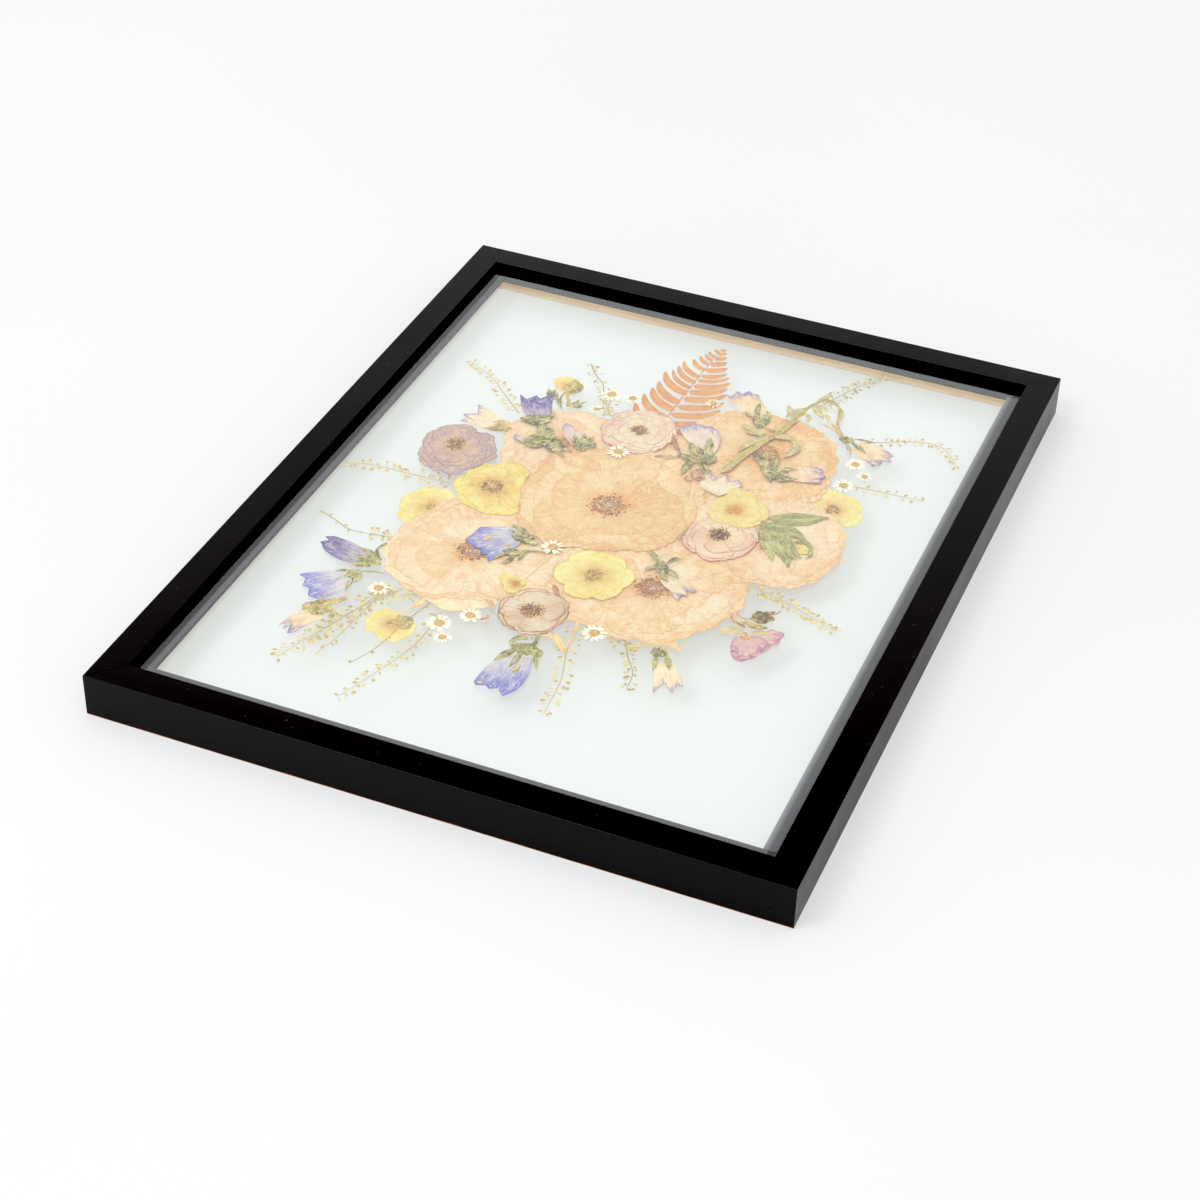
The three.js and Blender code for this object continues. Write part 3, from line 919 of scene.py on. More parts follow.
def cut_mitres(obj, outer, half_length):
    """Pulls each end back at 45 degrees, with half of the open line between two rails."""
    set_back = 0.04
    places = coordinates(obj.data)
    across = outer * MM - places[:, 0]
    places[:, 1] = np.sign(places[:, 1]) * ((half_length - set_back) * MM - across)
    set_coordinates(obj.data, places)


def mark_bare_wood(obj, wall):
    """Faces of the rabbet and of the back get the second material."""
    for face in obj.data.polygons:
        in_rabbet = face.center.x < wall + 1e-5 and face.center.z < FRONT_GLASS_TOP * MM + 1e-5
        face.material_index = int(in_rabbet or face.center.z < 1e-5)


class FLOWERFRAME_OT_rails(bpy.types.Operator):
    """Builds the four mitred rails"""

    bl_idname = "flower_frame.rails"
    bl_label = "Rails"

    def execute(self, context):
        settings = context.scene.flower_frame_frame
        looks = [paint_material(settings), wood_material(settings)]
        sides = (
            ("rail_right", OUTER_X, OUTER_Y, 0),
            ("rail_far", OUTER_Y, OUTER_X, 1),
            ("rail_left", OUTER_X, OUTER_Y, 2),
            ("rail_near", OUTER_Y, OUTER_X, 3),
        )
        for node, outer, half_length, turns in sides:
            rail = make_rail("wood_" + node, outer, half_length, turns)
            finish_piece(rail, looks, node, smooth=35)
            apply_modifier(rail, "WEIGHTED_NORMAL", keep_sharp=True, weight=100)
        return {"FINISHED"}


def rounded_block(name, node, edge):
    """A block that fills a CAD node's box, with small rounded edges."""
    low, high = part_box(node)
    obj = block(high - low, (low + high) / 2)
    apply_modifier(obj, "BEVEL", width=edge * MM, segments=2, limit_method="ANGLE")
    obj.name = obj.data.name = name
    return obj


class FLOWERFRAME_OT_glasses(bpy.types.Operator):
    """Builds the front and back glass"""

    bl_idname = "flower_frame.glasses"
    bl_label = "Glasses"

    def execute(self, context):
        clear = glass_material(context.scene.flower_frame_glass)
        for node in ("glass_front", "glass_back"):
            pane = rounded_block("clear_" + node, node, 0.15)
            finish_piece(pane, [clear], node, smooth=None)
            pane.visible_shadow = False
            pane.visible_diffuse = False
        return {"FINISHED"}


class FLOWERFRAME_OT_fixings(bpy.types.Operator):
    """Builds the spacer strips and the glazing points"""

    bl_idname = "flower_frame.fixings"
    bl_label = "Spacers and points"

    def execute(self, context):
        settings = context.scene.flower_frame_frame
        black = spacer_material(settings)
        for side in ("left", "right", "far", "near"):
            strip = rounded_block("strip_" + side, "spacer_" + side, 0.2)
            finish_piece(strip, [black], "spacer_" + side, smooth=None)
        steel = steel_material(settings)
        for number in range(1, 9):
            node = f"glazing_point_{number}"
            clip = make_clip(f"steel_clip_{number}", node)
            finish_piece(clip, [steel], node, smooth=40)
        return {"FINISHED"}


def make_clip(name, node):
    """An angle of sheet steel with a nail head on its upright leg, where the CAD node is."""
    low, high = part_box(node)
    middle = (low + high) / 2
    axis = 0 if abs(middle.x) / OUTER_X > abs(middle.y) / OUTER_Y else 1
    outwards = middle[axis] > 0
    metal = 0.6 * MM
    reach = high.x - low.x
    rise = high.z - low.z
    foot = block((reach, reach, metal), (-reach / 2, 0, rise - metal / 2))
    leg = block((metal, reach, rise - metal), (-metal / 2, 0, (rise - metal) / 2))
    deselect_all()
    bpy.ops.mesh.primitive_uv_sphere_add(segments=16, ring_count=8, radius=1.5 * MM)
    head = bpy.context.active_object
    head.scale = (0.35, 1, 1)
    head.location = (-metal, 0, rise * 0.38)
    place_in_mesh(head)
    clip = join([foot, leg, head], name)
    apply_modifier(clip, "BEVEL", width=0.12 * MM, segments=2, limit_method="ANGLE")
    quarter_turns = axis if outwards else axis + 2
    clip.data.transform(Matrix.Rotation(quarter_turns * math.pi / 2, 4, "Z"))
    wall = Vector((middle.x, middle.y, low.z))
    wall[axis] = high[axis] if outwards else low[axis]
    clip.data.transform(Matrix.Translation(wall))
    return clip


# ---- blooms ----

# node: (middle, layer, tissue, slot, outline, whorls). A whorl is (petals, share of the reach, turn).
BLOOMS = {
    "peach_bloom_upper_left": (
        (-60, 62), 1, "pale_peach", "petal_peach",
        [(-94, 64), (-91, 78), (-78, 91), (-62, 98), (-46, 98), (-26, 90), (-14, 66), (-30, 34),
         (-54, 12), (-76, 18), (-88, 44)],
        ((8, 1.0, 0), (6, 0.95, 20), (5, 0.78, 50), (4, 0.6, 10)),
    ),
    "peach_bloom_upper_right": (
        (54, 100), 1, "gold_peach", "petal_peach",
        [(2, 108), (10, 126), (21, 134), (44, 141), (65, 139), (82, 131), (92, 116), (97, 98),
         (97, 78), (92, 62), (72, 44), (42, 34), (10, 48), (-6, 78)],
        ((11, 1.01, 5), (8, 0.96, 20), (7, 0.84, 40), (5, 0.62, 80)),
    ),
    "peach_bloom_lower_left": (
        (-60, -55), 2, "pale_peach", "petal_peach",
        [(-106, -52), (-106, -72), (-98, -88), (-82, -99), (-64, -102), (-46, -96), (-28, -92),
         (-10, -82), (-2, -58), (-2, -32), (-22, -12), (-50, -2), (-72, -4), (-90, -12), (-100, -34)],
        ((11, 1.01, 0), (8, 0.96, 25), (6, 0.86, 60), (5, 0.64, 20)),
    ),
    "peach_bloom_lower_right": (
        (41, -45), 2.4, "pale_peach", "petal_peach",
        [(-16, -50), (-9, -72), (3, -86), (22, -92), (45, -93), (62, -87), (80, -70), (90, -50),
         (90, -28), (84, -8), (66, 4), (38, 6), (8, -8), (-10, -26)],
        ((11, 1.01, 10), (7, 0.96, 35), (5, 0.86, 70), (4, 0.62, 10)),
    ),
    "peach_bloom_right": (
        (88, 22), 3, "pale_peach", "petal_peach",
        [(28, 36), (50, 56), (76, 60), (96, 63), (110, 58), (120, 44), (124, 30), (123, 8),
         (116, -10), (103, -19), (86, -21), (70, -14), (38, 6)],
        ((11, 1.01, 0), (9, 0.97, 12), (7, 0.9, 30), (5, 0.74, 35)),
    ),
    "peach_bloom_middle": (
        (-9.5, 14.5), 4, "peach", "petal_peach",
        [(-61, 10), (-62, 34), (-57, 57), (-38, 64), (-20, 76), (4, 79), (22, 66), (34, 50),
         (40, 26), (39, 2), (28, -14), (6, -26), (-24, -33), (-46, -25), (-55, -8)],
        ((10, 1.01, 0), (8, 0.96, 25), (6, 0.86, 55), (5, 0.66, 20)),
    ),
    "mauve_bloom": (
        (-112, 33), 5, "mauve", "petal_mauve",
        [(-113, 57), (-105, 51), (-98, 53), (-91, 44), (-85, 32), (-90, 22), (-93, 14), (-99, 7),
         (-110, 5), (-120, 7), (-127, 16), (-131, 30), (-131, 41), (-124, 51)],
        ((7, 1.02, 30), (6, 0.93, 66), (5, 0.8, 20), (4, 0.66, 80)),
    ),
    "yellow_bloom_left": (
        (-76, 5), 3.2, "yellow", "petal_yellow",
        [(-71, 31), (-60, 25), (-56, 10), (-50, -5), (-54, -16), (-62, -18), (-71, -21.5), (-81, -18),
         (-91, -12), (-95, -6), (-97.5, 6), (-92, 20), (-83, 28.5)],
        ((6, 1.03, 10), (5, 0.84, 45)),
    ),
    "pale_yellow_bloom_left": (
        (-98, -26), 0, "pale_yellow", "petal_yellow",
        [(-112, -11), (-105, -7), (-97, -6), (-88, -14), (-90, -24), (-96, -36), (-105, -46), (-114, -38),
         (-118, -22)],
        ((6, 1.0, 0), (4, 0.75, 30)),
    ),
    "yellow_bloom_low": (
        (8.5, -49), 5, "pale_yellow", "petal_yellow",
        [(30, -49), (26, -34), (12, -27), (-2, -28), (-12, -38), (-13, -54), (-5, -67),
         (9, -72), (23, -66)],
        ((6, 1.0, 15), (5, 0.82, 45)),
    ),
    "cream_bloom_top": (
        (-22, 91), 5, "blush", "petal_blush",
        [(0, 92), (-3, 105), (-12, 112), (-24, 114), (-36, 109), (-42, 98), (-43, 84),
         (-37, 73), (-24, 68), (-10, 69), (-2, 79)],
        ((8, 1.0, 10), (7, 0.9, 35), (6, 0.76, 60), (4, 0.56, 5)),
    ),
    "beige_bloom": (
        (-9.5, -90), 3, "beige", "petal_blush",
        [(10, -90), (7, -77), (-3, -71), (-15, -71), (-24, -77), (-28, -88), (-25, -101),
         (-16, -109), (-5, -111), (6, -104)],
        ((6, 1.0, 0), (5, 0.9, 35)),
    ),
    "pink_bloom_right": (
        (56, 14), 5, "pink", "petal_blush",
        [(79, 12), (76, 24), (66, 31), (52, 31), (42, 25), (38, 12), (40, -2), (50, -10),
         (61, -12), (73, -4)],
        ((7, 1.0, 20), (6, 0.88, 50), (5, 0.7, 10)),
    ),
    "yellow_bloom_right": (
        (56, 39), 6, "olive_yellow", "petal_yellow",
        [(50, 60), (62, 59), (71, 51), (77, 38), (70, 27), (58, 22), (46, 26), (42, 38), (46, 52)],
        ((5, 1.02, 20), (4, 0.8, 60)),
    ),
    "pale_yellow_bloom_right": (
        (105, 65), 0, "pale_yellow", "petal_yellow",
        [(92, 78), (103, 84), (115, 79), (122, 68), (123, 58), (115, 50), (102, 51), (92, 62)],
        ((5, 1.0, 40), (3, 0.8, 10)),
    ),
    "crumpled_yellow_bloom": (
        (-72, -130), 0, "pale_yellow", "petal_yellow",
        [(-87, -130), (-80, -117), (-70, -120), (-61, -122), (-58, -136), (-66, -144), (-78, -143)],
        ((5, 1.0, 0), (4, 0.8, 30)),
    ),
    "yellow_bud_top": (
        (-76, 114), 2, "yellow", "petal_yellow",
        [(-69, 117), (-70, 124), (-75, 128.5), (-83, 128), (-89, 122), (-86, 115), (-80, 112), (-72, 111)],
        ((4, 1.0, 40), (3, 0.85, 90)),
    ),
    "small_yellow_bud": (
        (-27, -72), 4, "yellow", "petal_yellow",
        [(-38, -68), (-30, -66), (-22, -69), (-23, -80), (-30, -80)],
        ((3, 1.0, 150), (2, 0.9, 220)),
    ),
}


# how much more torn than others the rims of a bloom are
TORN = {
    "pale_yellow_bloom_right": 3.0, "crumpled_yellow_bloom": 4.0, "yellow_bud_top": 2.0,
    "mauve_bloom": 1.6, "peach_bloom_right": 1.5, "peach_bloom_upper_right": 1.4,
}


LARGE_BLOOM = 28  # a bloom whose mean reach is more than this has finer petals
PETAL_RELIEF = 0.04


def make_bloom(node, middle, layer, kind, outline, whorls):
    """All the petals of a bloom, lowest whorl first, joined in one piece."""
    rng = random.Random(node)
    reach = reach_by_angle(outline, middle)
    size = float(np.mean(reach(np.linspace(-math.pi, math.pi, 24))))
    rows, columns = (22, 26) if size > LARGE_BLOOM else (14, 16)
    notched = (0.3, 0.5) if "yellow" in kind else (0.1, 0.3)
    parts = []
    for level, (count, share, turn) in enumerate(whorls):
        half_angle = min(1.25 * math.pi / count + 0.12, 1.2)
        for number in range(count):
            angle = math.radians(turn) + (number + rng.uniform(-0.15, 0.15)) * TAU / count
            height = layer_height(layer) + 0.06 + 0.045 * level + 0.018 * (number % 2)
            parts.append(
                petal(
                    middle, reach, math.remainder(angle, TAU), half_angle,
                    share * rng.uniform(0.95, 1.0), height, rng, rows, columns, PETAL_RELIEF,
                    rng.uniform(*notched), TORN.get(node, 1.0),
                )
            )
    bloom = join(parts, node + "_petals")
    thicken(bloom)
    finish_piece(bloom, [tissue(kind)], node)


def make_flap():
    """The pale petal that has slipped out under the lower left bloom."""
    rng = random.Random("flap")
    outline = [
        (-70, -92), (-66, -102.5), (-62, -104.5), (-50, -108), (-40, -102), (-29, -93), (-36, -84),
        (-56, -84),
    ]
    middle = (-50, -84)
    reach = reach_by_angle(outline, middle)
    flap = petal(middle, reach, -math.pi / 2, 1.5, 1.0, layer_height(1.7), rng, 16, 24, 0.03, 0.0, 0.5)
    thicken(flap)
    flap.name = flap.data.name = "slipped_petal"
    finish_piece(flap, [tissue("pale_peach")])


class FLOWERFRAME_OT_blooms(bpy.types.Operator):
    """Builds the round blooms"""

    bl_idname = "flower_frame.blooms"
    bl_label = "Blooms"

    def execute(self, context):
        for node, (middle, layer, kind, slot, outline, whorls) in BLOOMS.items():
            make_bloom(node, middle, layer, kind, outline, whorls)
        make_flap()
        return {"FINISHED"}


# ---- blooms: what sits in their middles ----

# name: (middle, radius, layer, hole of the anther ring, anthers, core colour, ring colour)
MIDDLES = {
    "peach_bloom_middle": ((-9.5, 14.5), 9.6, 4, 0.3, 170, "carpel", "anther_red"),
    "peach_bloom_lower_left": ((-60, -54), 8.8, 2, 0.25, 150, "carpel", "anther_red"),
    "peach_bloom_lower_right": ((41, -45.5), 8.9, 2.4, 0.25, 160, "carpel", "anther_red"),
    "peach_bloom_upper_left": ((-59, 61), 6.5, 1, 0.3, 60, "anther_red", "anther_red"),
    "peach_bloom_upper_right": ((52, 101), 8.0, 1, 0.3, 70, "carpel", "anther_red"),
    "mauve_bloom": ((-112, 34), 6.0, 5, 0.0, 80, "anther_brown", "anther_brown"),
    "yellow_bloom_left": ((-76, 5), 6.0, 3.2, 0.5, 46, "pollen", "anther_plum"),
    "pale_yellow_bloom_left": ((-98, -26), 3.6, 0, 0.2, 18, "pollen", "anther_plum"),
    "yellow_bloom_low": ((8.5, -49), 5.2, 5, 0.45, 50, "pollen", "anther_olive"),
    "cream_bloom_top": ((-22, 91), 5.4, 5, 0.0, 80, "anther_brown", "anther_brown"),
    "beige_bloom": ((-9.5, -90), 6.2, 3, 0.0, 90, "anther_brown", "anther_brown"),
    "pink_bloom_right": ((56.5, 13.5), 6.0, 5, 0.0, 96, "anther_dark", "anther_dark"),
    "yellow_bloom_right": ((55.5, 38.5), 4.6, 6, 0.3, 46, "pollen_orange", "pollen_orange"),
    "pale_yellow_bloom_right": ((105, 64), 4.6, 0, 0.3, 30, "pollen_orange", "anther_plum"),
    "small_yellow_bud": ((-26, -72.5), 3.0, 4, 0.0, 20, "pollen_orange", "pollen_orange"),
}

# kind: (light, dark), in screen colours
GRAIN_COLOURS = {
    "carpel": ((222, 192, 146), (158, 112, 84)),
    "anther_red": ((204, 142, 94), (132, 82, 60)),
    "anther_brown": ((176, 118, 84), (108, 66, 50)),
    "anther_dark": ((140, 94, 78), (78, 50, 44)),
    "anther_plum": ((156, 120, 104), (84, 64, 78)),
    "anther_olive": ((196, 180, 120), (104, 92, 70)),
    "pollen": ((250, 226, 120), (214, 170, 74)),
    "pollen_orange": ((246, 190, 80), (206, 124, 48)),
    "daisy_gold": ((236, 204, 128), (180, 140, 76)),
}


def grain_tissue(kind):
    """The material of a kind of anther, carpel or pollen."""
    light, dark = GRAIN_COLOURS[kind]
    return material(grain_material, kind, rgb(*light), rgb(*dark))


def coloured(obj, look):
    """Gives an object its material, before it is joined to others."""
    obj.data.materials.append(look)
    return obj


def make_middle(bloom, middle, radius, layer, hole, count, core, ring):
    """Filaments, a ring of anthers and a core of carpels, all pressed flat."""
    rng = random.Random(bloom + " middle")
    height = layer_height(layer) + 0.26
    x0, y0 = middle
    threads = []
    for _ in range(int(count * 0.7)):
        angle = rng.uniform(0, TAU)
        inner, outer = radius * rng.uniform(0.1, 0.5), radius * rng.uniform(0.75, 1.2)
        way = (inner + outer) / 2
        x, y = x0 + way * math.cos(angle), y0 + way * math.sin(angle)
        matrix = placing(x, y, height, outer - inner, 0.28, 0.12, angle + rng.uniform(-0.3, 0.3))
        threads.append((matrix, rng.random()))
    parts = [coloured(copies(ball(5, 4), threads), grain_tissue(ring))]
    size = radius * 0.17
    heart = grains(middle, radius * max(hole, 0.6), int(count * 0.5), size * 1.2, height + 0.03, rng)
    parts.append(coloured(heart, grain_tissue(core)))
    anthers = grains(middle, radius, count, size, height + 0.02, rng, hole)
    strays = grains(middle, radius * 1.25, int(count * 0.2), size * 0.8, height + 0.02, rng, 0.75)
    parts.append(coloured(strays, grain_tissue(ring)))
    parts.append(coloured(anthers, grain_tissue(ring)))
    finish_piece(join(parts, bloom + "_stamens"), [])


class FLOWERFRAME_OT_stamens(bpy.types.Operator):
    """Builds the stamens and carpels in the middles of the blooms"""

    bl_idname = "flower_frame.stamens"
    bl_label = "Stamens"

    def execute(self, context):
        for bloom, values in MIDDLES.items():
            make_middle(bloom, *values)
        return {"FINISHED"}


# ---- bell flowers ----

# node: (layer, tissue, slot, corollas). A corolla is (foot, foot, mouth points from the first side).
BELLS = {
    "bell_purple_left": (3, "purple", "petal_violet", [
        ((-109, -79), (-111, -91), [(-134, -73.5), (-138, -76), (-134.5, -78), (-138.5, -81),
         (-136, -83.5), (-133, -87), (-126, -90.5)]),
    ]),
    "bell_blue_left": (3, "blue", "petal_violet", [
        ((-112, -98), (-106, -107), [(-135, -112), (-130, -114), (-128.5, -120.5), (-124.5, -120.5),
         (-122, -126.5), (-118, -127.5), (-113.5, -126.5)]),
    ]),
    "bell_peach_left": (2, "peach", "petal_violet", [
        ((-119, -136), (-106, -137), [(-124, -155), (-121.5, -152), (-120.5, -157), (-118.5, -153),
         (-117, -159.5), (-113.5, -157), (-112, -151)]),
    ]),
    "bell_blue_middle": (5, "blue", "petal_violet", [
        ((-43, -26), (-39, -39), [(-65, -34), (-66, -41), (-67.5, -48), (-63, -50), (-60, -53),
         (-57, -51), (-54, -57), (-51.5, -55), (-48, -61), (-45.5, -53)]),
    ]),
    "bell_violet_upper_left": (5, "purple", "petal_violet", [
        ((-88, 79), (-75, 82), [(-99.5, 97.5), (-94, 94), (-90.5, 100.5), (-87, 98), (-82, 106.5),
         (-80, 101), (-77.5, 93)]),
    ]),
    "bell_pale_left": (0, "cream", "petal_blush", [
        ((-96, 69), (-94, 58), [(-118.5, 79.5), (-114.5, 70.5), (-122.5, 66.5), (-118, 63.5),
         (-121, 59.5), (-115, 59)]),
    ]),
    "bell_small_upper_left": (5, "lilac", "petal_violet", [
        ((-54, 63), (-47, 69), [(-63, 75), (-63.5, 80.5), (-60, 79.5), (-57.5, 78.5), (-55, 75.5)]),
    ]),
    "bell_closed_upper_left": (6, "lilac", "petal_violet", [
        ((-75, 58), (-73, 52), [(-84.5, 57.5), (-85, 54.5), (-82, 52.5), (-79, 51.5)]),
    ]),
    "bell_top": (3, "peach", "petal_violet", [
        ((29, 133), (41, 137), [(10.5, 149), (14, 148), (15.5, 155.5), (19, 153.5), (21.5, 158.5),
         (25, 156.5), (28, 156.5), (31, 152)]),
    ]),
    "bell_lilac_middle": (6, "lilac", "petal_violet", [
        ((11, 90), (26, 86), [(-2, 103.5), (2, 107), (7, 111.5), (11, 110.5), (15, 112), (20, 109.5),
         (24, 103)]),
    ]),
    "bell_peach_middle": (5, "cream", "petal_blush", [
        ((30, 52), (43, 48), [(28, 72), (31, 69.5), (33, 66), (37, 64.5), (40, 70.5), (42, 66.5),
         (45, 64.5), (48, 68), (52, 63)]),
    ]),
    "bell_in_right_bloom": (5, "peach", "petal_violet", [
        ((70, 91), (73, 80), [(84, 98.5), (88, 97), (89, 94), (92, 91), (90, 88), (91.5, 84),
         (87, 82.5)]),
    ]),
    "bell_right": (3, "peach", "petal_violet", [
        ((99, 134), (97, 124), [(117, 131), (120.5, 128), (118.5, 124.5), (121.5, 121.5), (116.5, 120.5),
         (116, 116), (112.5, 112.5), (109, 117)]),
    ]),
    "bell_blue_bottom": (3, "blue", "petal_violet", [
        ((-8, -129), (0, -127), [(-12.5, -156), (-10.5, -158), (-6, -156), (-3, -158), (0.5, -156)]),
        ((0, -128), (7, -126), [(1, -154), (2, -157), (5.5, -160.5), (8, -157), (10, -153),
         (11, -147)]),
    ]),
    "bell_peach_bottom": (3, "cream", "petal_blush", [
        ((66, -102), (74, -101), [(73.5, -127), (76, -118), (82.5, -123.5), (82.5, -116.5),
         (86, -116.5)]),
    ]),
    "bell_small_low": (6, "cream", "petal_blush", [
        ((48, -31), (42, -38), [(64, -39.5), (61.5, -41.5), (58, -40.5), (61, -46), (57.5, -46),
         (57.5, -51.5), (53, -46)]),
    ]),
}


COROLLA_COLUMNS, COROLLA_ROWS = 44, 22


def corolla(foot_a, foot_b, mouth, height, rng):
    """A flattened bell: a pleated sheet from its foot to its ragged mouth."""
    edge = np.array(mouth, float)
    steps = np.r_[0, np.cumsum(np.linalg.norm(np.diff(edge, axis=0), axis=1))]
    steps /= steps[-1]
    foot_a, foot_b = np.array(foot_a, float), np.array(foot_b, float)
    side_way = edge[-1] - edge[0]
    length = np.linalg.norm(edge.mean(axis=0) - (foot_a + foot_b) / 2)
    side_way /= np.linalg.norm(side_way)
    pleats = rng.uniform(3.5, 5)
    phase = rng.uniform(0, TAU)

    def place(u, v):
        mouth_x = np.interp(u, steps, edge[:, 0])
        mouth_y = np.interp(u, steps, edge[:, 1])
        foot_x = foot_a[0] + (foot_b[0] - foot_a[0]) * u
        foot_y = foot_a[1] + (foot_b[1] - foot_a[1]) * u
        belly = 0.05 * length * np.sin(np.pi * v) * (2 * u - 1)
        sway = 0.3 * np.sin(TAU * pleats * u + phase) * np.sin(np.pi * v)
        x = foot_x + (mouth_x - foot_x) * v + (belly + sway) * side_way[0]
        y = foot_y + (mouth_y - foot_y) * v + (belly + sway) * side_way[1]
        fold = 0.07 * np.sin(TAU * pleats * u + phase) * (0.35 + 0.65 * v)
        return x, y, height + fold + 0.03 * swell(x, y, rng, 7, 4)

    return sheet(COROLLA_COLUMNS, COROLLA_ROWS, place, rng.random())


class FLOWERFRAME_OT_bells(bpy.types.Operator):
    """Builds the bell flowers"""

    bl_idname = "flower_frame.bells"
    bl_label = "Bell flowers"

    def execute(self, context):
        for node, (layer, kind, slot, corollas) in BELLS.items():
            rng = random.Random(node)
            height = layer_height(layer) + 0.12
            parts = [corolla(*values, height, rng) for values in corollas]
            bell = join(parts, node + "_petals")
            thicken(bell, 0.08)
            finish_piece(bell, [bell_tissue(kind)], node)
        return {"FINISHED"}


# ---- green parts, as blades, crumpled knots and stems ----

